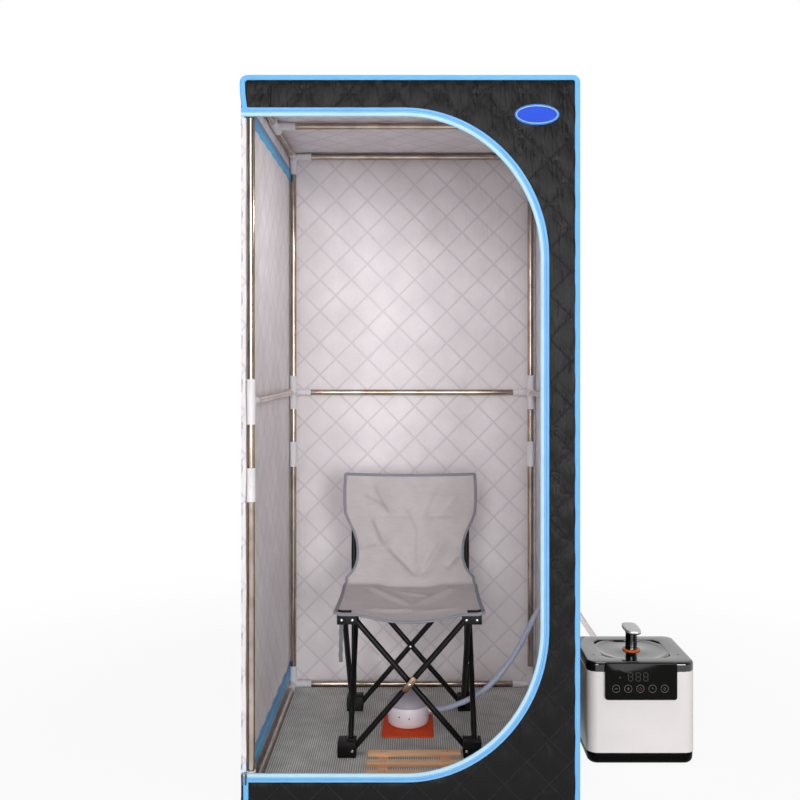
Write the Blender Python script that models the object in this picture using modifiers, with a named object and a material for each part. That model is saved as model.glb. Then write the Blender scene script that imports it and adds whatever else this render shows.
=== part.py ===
"""A portable steam sauna: a quilted tent on a tube frame, a folding chair, a footboard and a steam
diffuser inside it, and a steamer beside it that feeds the diffuser through a hose.

Metres, +Z up, doorway towards -Y. The origin is on the floor, at the centre of the tent's base."""

import math

import bmesh
import bpy
from mathutils import Matrix, Vector

# Cover
TENT_WIDTH = 0.84
TENT_DEPTH = 0.84
TENT_HEIGHT = 1.80
PANEL = 0.0045
MAT = 0.005
GAP = 0.0003

# Doorway: an opening that runs to the left edge, with two round corners on its right
DOOR_HEADER = 0.099
DOOR_SILL = 0.0705
DOOR_JAMB = 0.097
TOP_ARC = (0.34, 0.355)
SILL_ARC = (0.335, 0.36)
DOOR_CLEAR = 0.0015
HINGE_CLEAR = 0.002
ARC_STEPS = 10

# Tube frame
TUBE_R = 0.0095
FITTING_R = 0.0117
ELBOW_R = 0.0123
BORE_CLEAR = 0.0005
SOCKET = 0.060
SOCKET_STOP = 0.014
COUPLER_Z = 0.785
COUPLER_LENGTH = 0.084
MID_RAIL_Z = 0.992
TEE_LENGTH = 0.113
TEE_BRANCH = 0.0587
TEE_WALL = 0.003
CROSSBAR_Y = 0.0
TUBE_SIDES = 16
ELBOW_RINGS = 8

# Chair: four scissor pairs between feet below and brackets above
CHAIR_X = -0.0045
CHAIR_Y = 0.026
CHAIR_SPAN = 0.346
FOOT_SIZE = 0.050
FOOT_HEIGHT = 0.042
FOOT_PIVOT = 0.0172
BRACKET_SIZE = 0.052
BRACKET_ABOVE = 0.013
BRACKET_BELOW = 0.012
SEAT_PIVOT_Z = 0.3835
BAR_R = 0.008
BAR_END = 0.004
BAR_SIDES = 12
PIVOT_INSET = 0.016
SLOT_GAP = 0.0007
RIVET_R = 0.0025
RIVET_CLEAR = 0.0005
RIVET_SEAT = 0.002
RIVET_SIDES = 8
BACK_POST_R = 0.008
BACK_POST_OFFSET = 0.004
BACK_POST_TOP = 0.735
BACK_POST_CLEAR = 0.0005

# Chair fabric
SEAT_CLOTH = 0.004
SEAT_SAG = 0.030
SEAT_TURN_R = 0.022
BACK_HEIGHT = 0.741
SEAT_OVERHANG = 0.032
SEAT_HALF = CHAIR_SPAN / 2 + SEAT_OVERHANG
WAIST_IN = 0.040
WAIST_HALF = SEAT_HALF - WAIST_IN
WAIST_Z = 0.507
WAIST_REACH = 0.084
BACK_FOLD = 0.003
BACK_FOLDS = 3
CLOTH_STEPS = 30
CLOTH_COLUMNS = 14

# Steamer, standing to the right of the tent
STEAMER_OFF = 0.0588
STEAMER_FRONT = -0.203
STEAMER_WIDTH = 0.294
STEAMER_DEPTH = 0.250
STEAMER_CORNER = 0.030
STEAMER_WALL = 0.003
BASE_HEIGHT = 0.032
BASE_INSET = 0.0015
BODY_TOP = 0.2517
DECK_TOP = 0.278
DECK_LEDGE = 0.012
POT_R = 0.0975
POT_WALL = 0.0015
POT_FLOOR = 0.100
FLANGE_REACH = 0.0155
FLANGE = 0.002
RECESS_CLEAR = 0.0006
HEATER_R = 0.075
HEATER = 0.0135
LID_EDGE = 0.003
LID_CROWN = 0.0095
LID_DISH = 0.007
LID_RIM = 0.012
STEM_R = 0.0165
GRIP_WIDTH = 0.043
GRIP_LENGTH = 0.093
GRIP_HEIGHT = 0.012
GRIP_TOP = 0.340
KEYPAD_LEFT = 0.046
KEYPAD_WIDTH = 0.1944
KEYPAD_BOTTOM = 0.179
KEYPAD_TOP = 0.2788
KEYPAD_CORNER = 0.006
KEYPAD = 0.012
TURNED_STEPS = 32
CORNER_STEPS = 4

# Steam path
HOSE_R = 0.008
OUTLET_R = 0.010
OUTLET_REACH = 0.0185
PORT_R = 0.0114
PORT_Y = 0.1126
PORT_Z = 0.3664
HOSE_SIDES = 10
HOSE_SAMPLES = 2
PAD = 0.005
PAD_X = -0.011
PAD_Y = 0.053
PAD_WIDTH = 0.151
PAD_DEPTH = 0.170
PAD_CORNER = 0.006
CUP_X = -0.0097
CUP_Y = 0.072
CUP_R = 0.061
CUP_WALL = 0.002
CUP_HEIGHT = 0.058
CUP_INLET_R = 0.0075
CUP_INLET_REACH = 0.016
CUP_INLET_Z = 0.0485
CAP_RISE = 0.034
CAP_STEPS = 7

# Footboard
BOARD_X = 0.009
BOARD_INSET = 0.051
BOARD_WIDTH = 0.252
SLAT_WIDTH = 0.028
SLAT_PITCH = 0.0625
SLATS = 3
SLAT = 0.010
BATTEN_WIDTH = 0.028
BATTEN_HEIGHT = 0.021
BATTEN_SPREAD = 0.166

# Derived places
HALF_WIDTH = TENT_WIDTH / 2
HALF_DEPTH = TENT_DEPTH / 2
WALL_TOP = TENT_HEIGHT - PANEL - GAP
DOOR_TOP = TENT_HEIGHT - DOOR_HEADER
DOOR_LAYER = PANEL + GAP
HINGE_X = -HALF_WIDTH + PANEL
HINGE_Y = -HALF_DEPTH
POST_X = HALF_WIDTH - DOOR_LAYER - PANEL - GAP - ELBOW_R
POST_Y = HALF_DEPTH - PANEL - GAP - ELBOW_R
TOP_Z = WALL_TOP - ELBOW_R
BOTTOM_Z = ELBOW_R + GAP
BESIDE_RAIL = math.sqrt((ELBOW_R + GAP) ** 2 - (BOTTOM_Z - MAT) ** 2)
MAT_X = POST_X - BESIDE_RAIL
MAT_Y = POST_Y - BESIDE_RAIL
BORE_R = TUBE_R + BORE_CLEAR
TUBE_STOP = SOCKET_STOP + GAP
BAR_OFFSET = BAR_R + GAP / 2
SLOT_HALF = BAR_R + SLOT_GAP
SLOT_REACH = math.hypot(BAR_R, BAR_END) + SLOT_GAP
FOOT_BOTTOM = MAT + GAP
FOOT_PIVOT_Z = FOOT_BOTTOM + FOOT_PIVOT
STEAMER_X = HALF_WIDTH + STEAMER_OFF + STEAMER_WIDTH / 2
STEAMER_Y = STEAMER_FRONT + STEAMER_DEPTH / 2
LEDGE_Z = BODY_TOP + GAP + DECK_LEDGE
LID_Z = LEDGE_Z + GAP + FLANGE + GAP
PAD_Z = MAT + GAP
CUP_Z = PAD_Z + PAD + GAP
CUP_TOP = CUP_Z + CUP_HEIGHT
BOARD_FRONT = -MAT_Y + BOARD_INSET

CORNERS = {
    "front_left": (-1, -1),
    "front_right": (1, -1),
    "rear_left": (-1, 1),
    "rear_right": (1, 1),
}

# Each scissor bar: its foot's corner, its bracket's corner, the way it runs, and the side of its pair's plane
BARS = {
    "front_1": ("front_left", "front_right", "x", -1),
    "front_2": ("front_right", "front_left", "x", 1),
    "left_1": ("front_left", "rear_left", "y", 1),
    "left_2": ("rear_left", "front_left", "y", -1),
    "right_1": ("front_right", "rear_right", "y", 1),
    "right_2": ("rear_right", "front_right", "y", -1),
    "rear_1": ("rear_left", "rear_right", "x", -1),
    "rear_2": ("rear_right", "rear_left", "x", 1),
}

# The hose's way from the steamer's outlet, up through the right wall's port and down to the cup
OUTLET_X = 0.603
OUTLET_Z = 0.190
HOSE_ROUTE = (
    (0.6030, 0.0660, 0.1900),
    (0.6030, 0.0779, 0.1901),
    (0.6011, 0.0976, 0.1926),
    (0.5938, 0.1216, 0.2027),
    (0.5814, 0.1395, 0.2200),
    (0.5645, 0.1492, 0.2430),
    (0.5440, 0.1510, 0.2725),
    (0.5210, 0.1465, 0.3075),
    (0.4970, 0.1390, 0.3420),
    (0.4708, 0.1303, 0.3644),
    (0.4408, 0.1203, 0.3712),
    (0.4111, 0.1102, 0.3631),
    (0.3873, 0.1024, 0.3424),
    (0.3699, 0.0975, 0.3153),
    (0.3548, 0.0939, 0.2865),
    (0.3396, 0.0907, 0.2578),
    (0.3235, 0.0878, 0.2295),
    (0.3060, 0.0853, 0.2020),
    (0.2870, 0.0829, 0.1756),
    (0.2663, 0.0808, 0.1503),
    (0.2437, 0.0789, 0.1269),
    (0.2188, 0.0772, 0.1059),
    (0.1915, 0.0756, 0.0879),
    (0.1624, 0.0743, 0.0732),
    (0.1319, 0.0733, 0.0616),
    (0.0985, 0.0724, 0.0512),
    (0.0681, 0.0720, 0.0485),
)

# Finishes: colour, roughness and metallic value
FINISHES = {
    "cover": ((0.030, 0.030, 0.033), 0.75, 0.0),
    "mat": ((0.250, 0.250, 0.245), 0.80, 0.0),
    "steel": ((0.620, 0.590, 0.550), 0.20, 1.0),
    "fitting": ((0.820, 0.800, 0.810), 0.45, 0.0),
    "black_steel": ((0.012, 0.012, 0.012), 0.40, 0.0),
    "black_nylon": ((0.010, 0.010, 0.010), 0.55, 0.0),
    "canvas": ((0.440, 0.410, 0.390), 0.90, 0.0),
    "white_shell": ((0.850, 0.820, 0.820), 0.35, 0.0),
    "black_shell": ((0.010, 0.010, 0.010), 0.25, 0.0),
    "stainless": ((0.650, 0.640, 0.620), 0.30, 1.0),
    "aluminium": ((0.700, 0.700, 0.700), 0.40, 1.0),
    "silicone": ((0.620, 0.650, 0.760), 0.35, 0.0),
    "cup": ((0.790, 0.720, 0.790), 0.40, 0.0),
    "cap": ((0.420, 0.380, 0.430), 0.50, 0.0),
    "orange": ((0.660, 0.040, 0.004), 0.60, 0.0),
    "wood": ((0.560, 0.310, 0.150), 0.60, 0.0),
}


def clear_scene():
    for obj in list(bpy.data.objects):
        bpy.data.objects.remove(obj)


def collection(name):
    made = bpy.data.collections.new(name)
    bpy.context.scene.collection.children.link(made)
    return made


def paint(obj, finish):
    """Gives an object its own material in that finish."""
    colour, roughness, metallic = FINISHES[finish]
    material = bpy.data.materials.new(f"{obj.name}_{finish}")
    material.use_nodes = True
    shader = material.node_tree.nodes["Principled BSDF"]
    shader.inputs["Base Color"].default_value = (*colour, 1.0)
    shader.inputs["Roughness"].default_value = roughness
    shader.inputs["Metallic"].default_value = metallic
    obj.data.materials.append(material)


def cylinder(start, end, radius, sides=TUBE_SIDES):
    """A closed cylinder between two points, as a bmesh."""
    start, end = Vector(start), Vector(end)
    along = end - start
    turn = Vector((0, 0, 1)).rotation_difference(along).to_matrix().to_4x4()
    bm = bmesh.new()
    bmesh.ops.create_cone(
        bm,
        cap_ends=True,
        segments=sides,
        radius1=radius,
        radius2=radius,
        depth=along.length,
        matrix=Matrix.Translation((start + end) / 2) @ turn,
    )
    return bm


def block(low, high):
    """A closed box between two corners, as a bmesh."""
    low, high = Vector(low), Vector(high)
    bm = bmesh.new()
    scale = Matrix.Diagonal((*(high - low), 1))
    bmesh.ops.create_cube(bm, size=1, matrix=Matrix.Translation((low + high) / 2) @ scale)
    return bm


def ball(centre, radius):
    """A closed sphere, as a bmesh."""
    bm = bmesh.new()
    bmesh.ops.create_uvsphere(
        bm,
        u_segments=TUBE_SIDES,
        v_segments=ELBOW_RINGS,
        radius=radius,
        matrix=Matrix.Translation(centre),
    )
    return bm


class Assembly:
    """The sauna's collections, and the ways to add a piece to them."""

    def __init__(self):
        self.parts = collection("portable_steam_sauna")
        self.cutters = collection("cutters")

    def piece(self, name, data, finish, location=(0, 0, 0)):
        obj = bpy.data.objects.new(name, data)
        obj.location = location
        self.parts.objects.link(obj)
        paint(obj, finish)
        return obj

    def solid(self, name, bm, finish, pivot=(0, 0, 0)):
        """A mesh piece drawn in place, with its origin at the pivot."""
        bmesh.ops.translate(bm, vec=-Vector(pivot), verts=bm.verts)
        mesh = bpy.data.meshes.new(name)
        bm.to_mesh(mesh)
        bm.free()
        obj = self.piece(name, mesh, finish, pivot)
        mesh.shade_smooth()
        mesh.set_sharp_from_angle(angle=math.radians(40))
        return obj

    def combine(self, obj, operation, shapes):
        for bm in shapes:
            name = f"{obj.name}_{operation.lower()}_{len(obj.modifiers)}"
            mesh = bpy.data.meshes.new(name)
            bm.to_mesh(mesh)
            bm.free()
            tool = bpy.data.objects.new(name, mesh)
            tool.hide_render = True
            tool.display_type = "WIRE"
            self.cutters.objects.link(tool)
            modifier = obj.modifiers.new(name, "BOOLEAN")
            modifier.operation = operation
            modifier.object = tool

    def join(self, obj, *shapes):
        self.combine(obj, "UNION", shapes)

    def cut(self, obj, *shapes):
        self.combine(obj, "DIFFERENCE", shapes)

    def tube(self, name, points, radius, finish, sides=TUBE_SIDES, pivot=(0, 0, 0)):
        """A round bar or hose along points, as a curve with closed ends."""
        curve = bpy.data.curves.new(name, "CURVE")
        curve.dimensions = "3D"
        curve.bevel_depth = radius
        curve.bevel_resolution = sides // 2 - 2
        curve.use_fill_caps = True
        spline = curve.splines.new("POLY")
        spline.points.add(len(points) - 1)
        for point, place in zip(spline.points, points):
            point.co = (*(Vector(place) - Vector(pivot)), 1)
        return self.piece(name, curve, finish, pivot)

    def plate(self, name, loops, thickness, finish, location, turn=(0, 0, 0)):
        """A flat outline, with any holes, thickened evenly to both sides of its plane."""
        curve = bpy.data.curves.new(name, "CURVE")
        curve.dimensions = "2D"
        curve.fill_mode = "BOTH"
        curve.extrude = thickness / 2
        for loop in loops:
            spline = curve.splines.new("POLY")
            spline.points.add(len(loop) - 1)
            spline.use_cyclic_u = True
            for point, (x, y) in zip(spline.points, loop):
                point.co = (x, y, 0, 1)
        obj = self.piece(name, curve, finish, location)
        obj.rotation_euler = turn
        return obj

    def meshed(self, obj):
        """Makes a curve piece a welded mesh under the same name, so that it can be cut or joined."""
        bpy.context.view_layer.update()
        graph = bpy.context.evaluated_depsgraph_get()
        mesh = bpy.data.meshes.new_from_object(obj.evaluated_get(graph))
        bm = bmesh.new()
        bm.from_mesh(mesh)
        bmesh.ops.remove_doubles(bm, verts=bm.verts, dist=GAP / 3)
        bm.to_mesh(mesh)
        bm.free()
        name, matrix = obj.name, obj.matrix_world.copy()
        bpy.data.objects.remove(obj)
        made = bpy.data.objects.new(name, mesh)
        made.matrix_world = matrix
        self.parts.objects.link(made)
        return made

    def turned(self, name, profile, finish, location):
        """A profile of (radius, height) points, turned about a vertical axis."""
        mesh = bpy.data.meshes.new(name)
        edges = [(i, i + 1) for i in range(len(profile) - 1)]
        mesh.from_pydata([(r, 0, z) for r, z in profile], edges, [])
        obj = self.piece(name, mesh, finish, location)
        screw = obj.modifiers.new("turn", "SCREW")
        screw.steps = TURNED_STEPS
        screw.render_steps = TURNED_STEPS
        screw.use_merge_vertices = True
        screw.merge_threshold = 0.0001
        return obj


def arc(centre, radii, start, end, steps):
    """Points on an ellipse between two angles in degrees, both ends included."""
    made = []
    for i in range(steps + 1):
        angle = math.radians(start + (end - start) * i / steps)
        made.append((centre[0] + radii[0] * math.cos(angle), centre[1] + radii[1] * math.sin(angle)))
    return made


def rounded(width, depth, radius):
    """The outline of a rectangle with round corners, centred on the origin."""
    x, y = width / 2 - radius, depth / 2 - radius
    made = []
    for i, (sx, sy) in enumerate(((1, 1), (-1, 1), (-1, -1), (1, -1))):
        made += arc((sx * x, sy * y), (radius, radius), 90 * i, 90 * i + 90, CORNER_STEPS)
    return made


def doorway(left, inset):
    """The opening's edge from its top left round to its bottom left, drawn in by inset, as (x, z)."""
    right = HALF_WIDTH - DOOR_JAMB - inset
    top, sill = DOOR_TOP - inset, DOOR_SILL + inset
    top_radii = (TOP_ARC[0] - inset, TOP_ARC[1] - inset)
    sill_radii = (SILL_ARC[0] - inset, SILL_ARC[1] - inset)
    upper = arc((right - top_radii[0], top - top_radii[1]), top_radii, 90, 0, ARC_STEPS)
    lower = arc((right - sill_radii[0], sill + sill_radii[1]), sill_radii, 0, -90, ARC_STEPS)
    return [(left, top), *upper, *lower, (left, sill)]


def build_cover(sauna):
    upright = (math.pi / 2, 0, 0)
    front = [(-HALF_WIDTH, 0), (HALF_WIDTH, 0), (HALF_WIDTH, WALL_TOP), (-HALF_WIDTH, WALL_TOP)]
    outline = front + doorway(-HALF_WIDTH, 0)
    sauna.plate("front_panel", [outline], PANEL, "cover", (0, -HALF_DEPTH + PANEL / 2, 0), upright)

    side_y = HALF_DEPTH - PANEL - GAP
    left_x = -HALF_WIDTH + DOOR_LAYER
    left = block((left_x, -side_y, 0), (left_x + PANEL, side_y, WALL_TOP))
    sauna.solid("left_wall", left, "cover")
    right = block((HALF_WIDTH - PANEL, -side_y, 0), (HALF_WIDTH, side_y, WALL_TOP))
    right_wall = sauna.solid("right_wall", right, "cover")
    inside, outside = HALF_WIDTH - 2 * PANEL, HALF_WIDTH + PANEL
    sauna.cut(right_wall, cylinder((inside, PORT_Y, PORT_Z), (outside, PORT_Y, PORT_Z), PORT_R))
    back = block((-HALF_WIDTH, HALF_DEPTH - PANEL, 0), (HALF_WIDTH, HALF_DEPTH, WALL_TOP))
    sauna.solid("back_wall", back, "cover")
    low = (-HALF_WIDTH, -HALF_DEPTH, TENT_HEIGHT - PANEL)
    sauna.solid("roof_panel", block(low, (HALF_WIDTH, HALF_DEPTH, TENT_HEIGHT)), "cover")

    sauna.solid("floor_mat", block((-MAT_X, -MAT_Y, 0), (MAT_X, MAT_Y, MAT)), "mat")

    # Folded back along the left wall; its hinge line is the left wall's front edge
    outline = [(x - HINGE_X, z) for x, z in doorway(HINGE_X + HINGE_CLEAR, DOOR_CLEAR)]
    flap = sauna.plate("door_flap", [outline], PANEL, "cover", (HINGE_X, HINGE_Y, 0))
    flap.rotation_euler = (math.pi / 2, 0, math.pi / 2)
    flap = sauna.meshed(flap)
    flap.data.transform(Matrix.Translation((0, 0, -PANEL / 2)))


def build_fitting(sauna, name, centre, ways):
    """A corner fitting with a blind socket for a tube along each way."""
    centre = Vector(centre)
    fitting = sauna.solid(name, ball(centre, ELBOW_R), "fitting")
    for way in map(Vector, ways):
        sauna.join(fitting, cylinder(centre, centre + SOCKET * way, FITTING_R))
    for way in map(Vector, ways):
        mouth = centre + (SOCKET + SOCKET_STOP) * way
        sauna.cut(fitting, cylinder(centre + SOCKET_STOP * way, mouth, BORE_R))


def build_rails(sauna, level, z):
    """Four rails at one height, seated in the corner fittings."""
    x, y = POST_X - TUBE_STOP, POST_Y - TUBE_STOP
    runs = {
        "front": ((-x, -POST_Y, z), (x, -POST_Y, z)),
        "rear": ((-x, POST_Y, z), (x, POST_Y, z)),
        "left": ((-POST_X, -y, z), (-POST_X, y, z)),
        "right": ((POST_X, -y, z), (POST_X, y, z)),
    }
    for side, ends in runs.items():
        sauna.tube(f"{level}_rail_{side}", ends, TUBE_R, "steel")


def build_posts(sauna):
    for corner, (sx, sy) in CORNERS.items():
        x, y = sx * POST_X, sy * POST_Y
        tube = cylinder((x, y, BOTTOM_Z + TUBE_STOP), (x, y, TOP_Z - TUBE_STOP), TUBE_R)
        post = sauna.solid(f"post_{corner}", tube, "steel")
        low, high = COUPLER_Z - COUPLER_LENGTH / 2, COUPLER_Z + COUPLER_LENGTH / 2
        sauna.join(post, cylinder((x, y, low), (x, y, high), FITTING_R))
        inward = [(-sx, 0, 0), (0, -sy, 0)]
        build_fitting(sauna, f"top_corner_{corner}", (x, y, TOP_Z), [*inward, (0, 0, -1)])
        build_fitting(sauna, f"bottom_corner_{corner}", (x, y, BOTTOM_Z), [*inward, (0, 0, 1)])


def build_middle_rails(sauna):
    """Side rails with a tee round each post, and a rear rail in the rear tees' sockets."""
    half = TEE_LENGTH / 2
    socket_stop = BORE_R + TEE_WALL
    for side, sx in (("left", -1), ("right", 1)):
        x = sx * POST_X
        run = cylinder((x, -POST_Y, MID_RAIL_Z), (x, POST_Y, MID_RAIL_Z), TUBE_R)
        rail = sauna.solid(f"mid_rail_{side}", run, "steel")
        for sy in (-1, 1):
            y = sy * POST_Y
            sauna.join(
                rail,
                cylinder((x, y, MID_RAIL_Z - half), (x, y, MID_RAIL_Z + half), FITTING_R),
                cylinder((x, y, MID_RAIL_Z), (x, y - sy * TEE_BRANCH, MID_RAIL_Z), FITTING_R),
            )
        rear = Vector((x, POST_Y, MID_RAIL_Z))
        inward = Vector((-sx, 0, 0))
        sauna.join(rail, cylinder(rear, rear + TEE_BRANCH * inward, FITTING_R))
        for sy in (-1, 1):
            y = sy * POST_Y
            low, high = MID_RAIL_Z - TEE_LENGTH, MID_RAIL_Z + TEE_LENGTH
            sauna.cut(rail, cylinder((x, y, low), (x, y, high), BORE_R))
        mouth = rear + (TEE_BRANCH + socket_stop) * inward
        sauna.cut(rail, cylinder(rear + socket_stop * inward, mouth, BORE_R))
    x = POST_X - socket_stop - GAP
    sauna.tube("mid_rail_rear", [(-x, POST_Y, MID_RAIL_Z), (x, POST_Y, MID_RAIL_Z)], TUBE_R, "steel")


def build_crossbar(sauna):
    half = TEE_LENGTH / 2
    bar = sauna.solid(
        "roof_crossbar",
        cylinder((-POST_X, CROSSBAR_Y, TOP_Z), (POST_X, CROSSBAR_Y, TOP_Z), TUBE_R),
        "steel",
    )
    for sx in (-1, 1):
        x = sx * POST_X
        sauna.join(
            bar,
            cylinder((x, CROSSBAR_Y - half, TOP_Z), (x, CROSSBAR_Y + half, TOP_Z), FITTING_R),
            cylinder((x, CROSSBAR_Y, TOP_Z), (x - sx * TEE_BRANCH, CROSSBAR_Y, TOP_Z), FITTING_R),
        )
    for sx in (-1, 1):
        x = sx * POST_X
        low, high = CROSSBAR_Y - TEE_LENGTH, CROSSBAR_Y + TEE_LENGTH
        sauna.cut(bar, cylinder((x, low, TOP_Z), (x, high, TOP_Z), BORE_R))


def chair_corner(corner):
    sx, sy = CORNERS[corner]
    return Vector((CHAIR_X + sx * CHAIR_SPAN / 2, CHAIR_Y + sy * CHAIR_SPAN / 2, 0))


def across(run):
    """The way a bar's rivets point, for a bar that runs along x or y."""
    return Vector((0, 1, 0)) if run == "x" else Vector((1, 0, 0))


def inward(corner, run):
    """The way along the run from a corner to the chair's middle."""
    sx, sy = CORNERS[corner]
    return Vector((-sx, 0, 0)) if run == "x" else Vector((0, -sy, 0))


def bar_pivot(bar, end):
    """Where a bar's foot or bracket rivet crosses its middle line."""
    foot, bracket, run, side = BARS[bar]
    corner, z = (foot, FOOT_PIVOT_Z) if end == "foot" else (bracket, SEAT_PIVOT_Z)
    place = chair_corner(corner) + PIVOT_INSET * inward(corner, run)
    return place + side * BAR_OFFSET * across(run) + Vector((0, 0, z))


def bar_crossing(bar):
    return (bar_pivot(bar, "foot") + bar_pivot(bar, "bracket")) / 2


def bars_at(corner, end):
    index = 0 if end == "foot" else 1
    return [bar for bar in BARS if BARS[bar][index] == corner]


def build_bar(sauna, bar):
    """One scissor bar: the first of a pair carries the rivet that its partner turns on."""
    run, side = BARS[bar][2:]
    foot, bracket = bar_pivot(bar, "foot"), bar_pivot(bar, "bracket")
    along = (bracket - foot).normalized()
    rivet = across(run)
    first = bar.endswith("_1")
    pivot = foot if first else bar_crossing(bar)
    rod = cylinder(foot - BAR_END * along, bracket + BAR_END * along, BAR_R, BAR_SIDES)
    obj = sauna.solid(f"chair_bar_{bar}", rod, "black_steel", pivot)
    middle = bar_crossing(bar)
    holes = [foot, bracket]
    if first:
        far = middle - side * (2 * BAR_OFFSET + BAR_R) * rivet
        sauna.join(obj, cylinder(middle, far, RIVET_R, RIVET_SIDES))
    else:
        holes.append(middle)
    reach = 2 * BAR_R * rivet
    sauna.cut(obj, *(cylinder(p - reach, p + reach, RIVET_R + RIVET_CLEAR, RIVET_SIDES) for p in holes))


def build_knuckle(sauna, obj, corner, end, low_z, high_z, half):
    """Cuts a slot for each bar that ends in a foot or bracket, and fixes its rivet across the slot."""
    for bar in bars_at(corner, end):
        run = BARS[bar][2]
        pivot, rivet, way = bar_pivot(bar, end), across(run), inward(corner, run)
        start = pivot - SLOT_REACH * way
        stop = pivot + 2 * half * way
        slot_low = pivot.z - SLOT_REACH if end == "foot" else low_z - BAR_R
        slot_high = high_z + BAR_R if end == "foot" else pivot.z + SLOT_REACH
        corners = [start - SLOT_HALF * rivet, stop + SLOT_HALF * rivet]
        low = Vector([min(a, b) for a, b in zip(*corners)])
        high = Vector([max(a, b) for a, b in zip(*corners)])
        low.z, high.z = slot_low, slot_high
        sauna.cut(obj, block(low, high))
    for bar in bars_at(corner, end):
        pivot, rivet = bar_pivot(bar, end), across(BARS[bar][2])
        reach = (SLOT_HALF + RIVET_SEAT) * rivet
        sauna.join(obj, cylinder(pivot - reach, pivot + reach, RIVET_R, RIVET_SIDES))


def build_foot(sauna, corner):
    """A foot; at the rear it carries a back post too."""
    centre = chair_corner(corner)
    half = FOOT_SIZE / 2
    low = centre + Vector((-half, -half, FOOT_BOTTOM))
    high = centre + Vector((half, half, FOOT_BOTTOM + FOOT_HEIGHT))
    rear = corner.startswith("rear")
    name = f"chair_post_{corner}" if rear else f"chair_foot_{corner}"
    foot = sauna.solid(name, block(low, high), "black_nylon", centre + Vector((0, 0, FOOT_PIVOT_Z)))
    build_knuckle(sauna, foot, corner, "foot", low.z, high.z, half)
    if rear:
        post = back_post(corner)
        bottom = Vector((post.x, post.y, FOOT_BOTTOM + FOOT_HEIGHT / 2))
        sauna.join(foot, cylinder(bottom, (post.x, post.y, BACK_POST_TOP), BACK_POST_R))


def back_post(corner):
    sx, sy = CORNERS[corner]
    return chair_corner(corner) + BACK_POST_OFFSET * Vector((sx, sy, 0))


def build_bracket(sauna, corner):
    """A bracket that two bars hang from; at the rear it slides on the back post."""
    centre = chair_corner(corner)
    half = BRACKET_SIZE / 2
    low = centre + Vector((-half, -half, SEAT_PIVOT_Z - BRACKET_BELOW))
    high = centre + Vector((half, half, SEAT_PIVOT_Z + BRACKET_ABOVE))
    pivot = centre + Vector((0, 0, SEAT_PIVOT_Z))
    bracket = sauna.solid(f"chair_bracket_{corner}", block(low, high), "black_nylon", pivot)
    build_knuckle(sauna, bracket, corner, "bracket", low.z, high.z, half)
    if corner.startswith("rear"):
        post = back_post(corner)
        bottom, top = (post.x, post.y, low.z - BAR_R), (post.x, post.y, high.z + BAR_R)
        sauna.cut(bracket, cylinder(bottom, top, BACK_POST_R + BACK_POST_CLEAR))


def seat_line(share):
    """A point (y, z) of the fabric's middle line, from the seat's front edge to the back's top."""
    front = CHAIR_Y - CHAIR_SPAN / 2 - BRACKET_SIZE / 2
    back = back_post("rear_left").y - BACK_POST_R - GAP - SEAT_CLOTH / 2
    level = SEAT_PIVOT_Z + BRACKET_ABOVE + GAP + SEAT_CLOTH / 2
    lengths = (
        back - SEAT_TURN_R - front,
        SEAT_TURN_R * math.pi / 2,
        BACK_HEIGHT - level - SEAT_TURN_R,
    )
    run = share * sum(lengths)
    if run <= lengths[0]:
        return front + run, level
    run -= lengths[0]
    if run <= lengths[1]:
        angle = run / SEAT_TURN_R
        y = back - SEAT_TURN_R * (1 - math.sin(angle))
        return y, level + SEAT_TURN_R * (1 - math.cos(angle))
    return back, level + SEAT_TURN_R + run - lengths[1]


def build_seat(sauna):
    """The fabric seat and back in one: it sags between the brackets and narrows to a waist."""
    bm = bmesh.new()
    bmesh.ops.create_grid(bm, x_segments=CLOTH_COLUMNS, y_segments=CLOTH_STEPS, size=0.5)
    level = seat_line(0)[1]
    front, back = seat_line(0)[0], seat_line(1)[0]
    hang = (CHAIR_SPAN - BRACKET_SIZE) / 2 - 2 * SEAT_HALF / CLOTH_COLUMNS
    for vert in bm.verts:
        side, share = 2 * vert.co.x, vert.co.y + 0.5
        y, z = seat_line(share)
        waist = math.exp(-(((z - WAIST_Z) / WAIST_REACH) ** 4))
        half = SEAT_HALF - (SEAT_HALF - WAIST_HALF) * waist
        seat_share = max(0.0, 1 - (y - front) / (back - front))
        climb = max(0.0, z - level) / (BACK_HEIGHT - level)
        fold = BACK_FOLD * math.cos(BACK_FOLDS * math.pi * side) * 4 * climb * (1 - climb) * (1 - side**2)
        sag = SEAT_SAG * max(0.0, 1 - (half * side / hang) ** 2) * min(1.0, 3 * seat_share)
        vert.co = (CHAIR_X + half * side, y - abs(fold), z - sag)
    pivot = chair_corner("front_left") + Vector((0, 0, SEAT_PIVOT_Z))
    seat = sauna.solid("chair_seat", bm, "canvas", pivot)
    shell = seat.modifiers.new("cloth", "SOLIDIFY")
    shell.thickness = SEAT_CLOTH
    shell.offset = 0


def build_chair(sauna):
    for bar in BARS:
        build_bar(sauna, bar)
    for corner in CORNERS:
        build_foot(sauna, corner)
        build_bracket(sauna, corner)
    build_seat(sauna)


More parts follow.
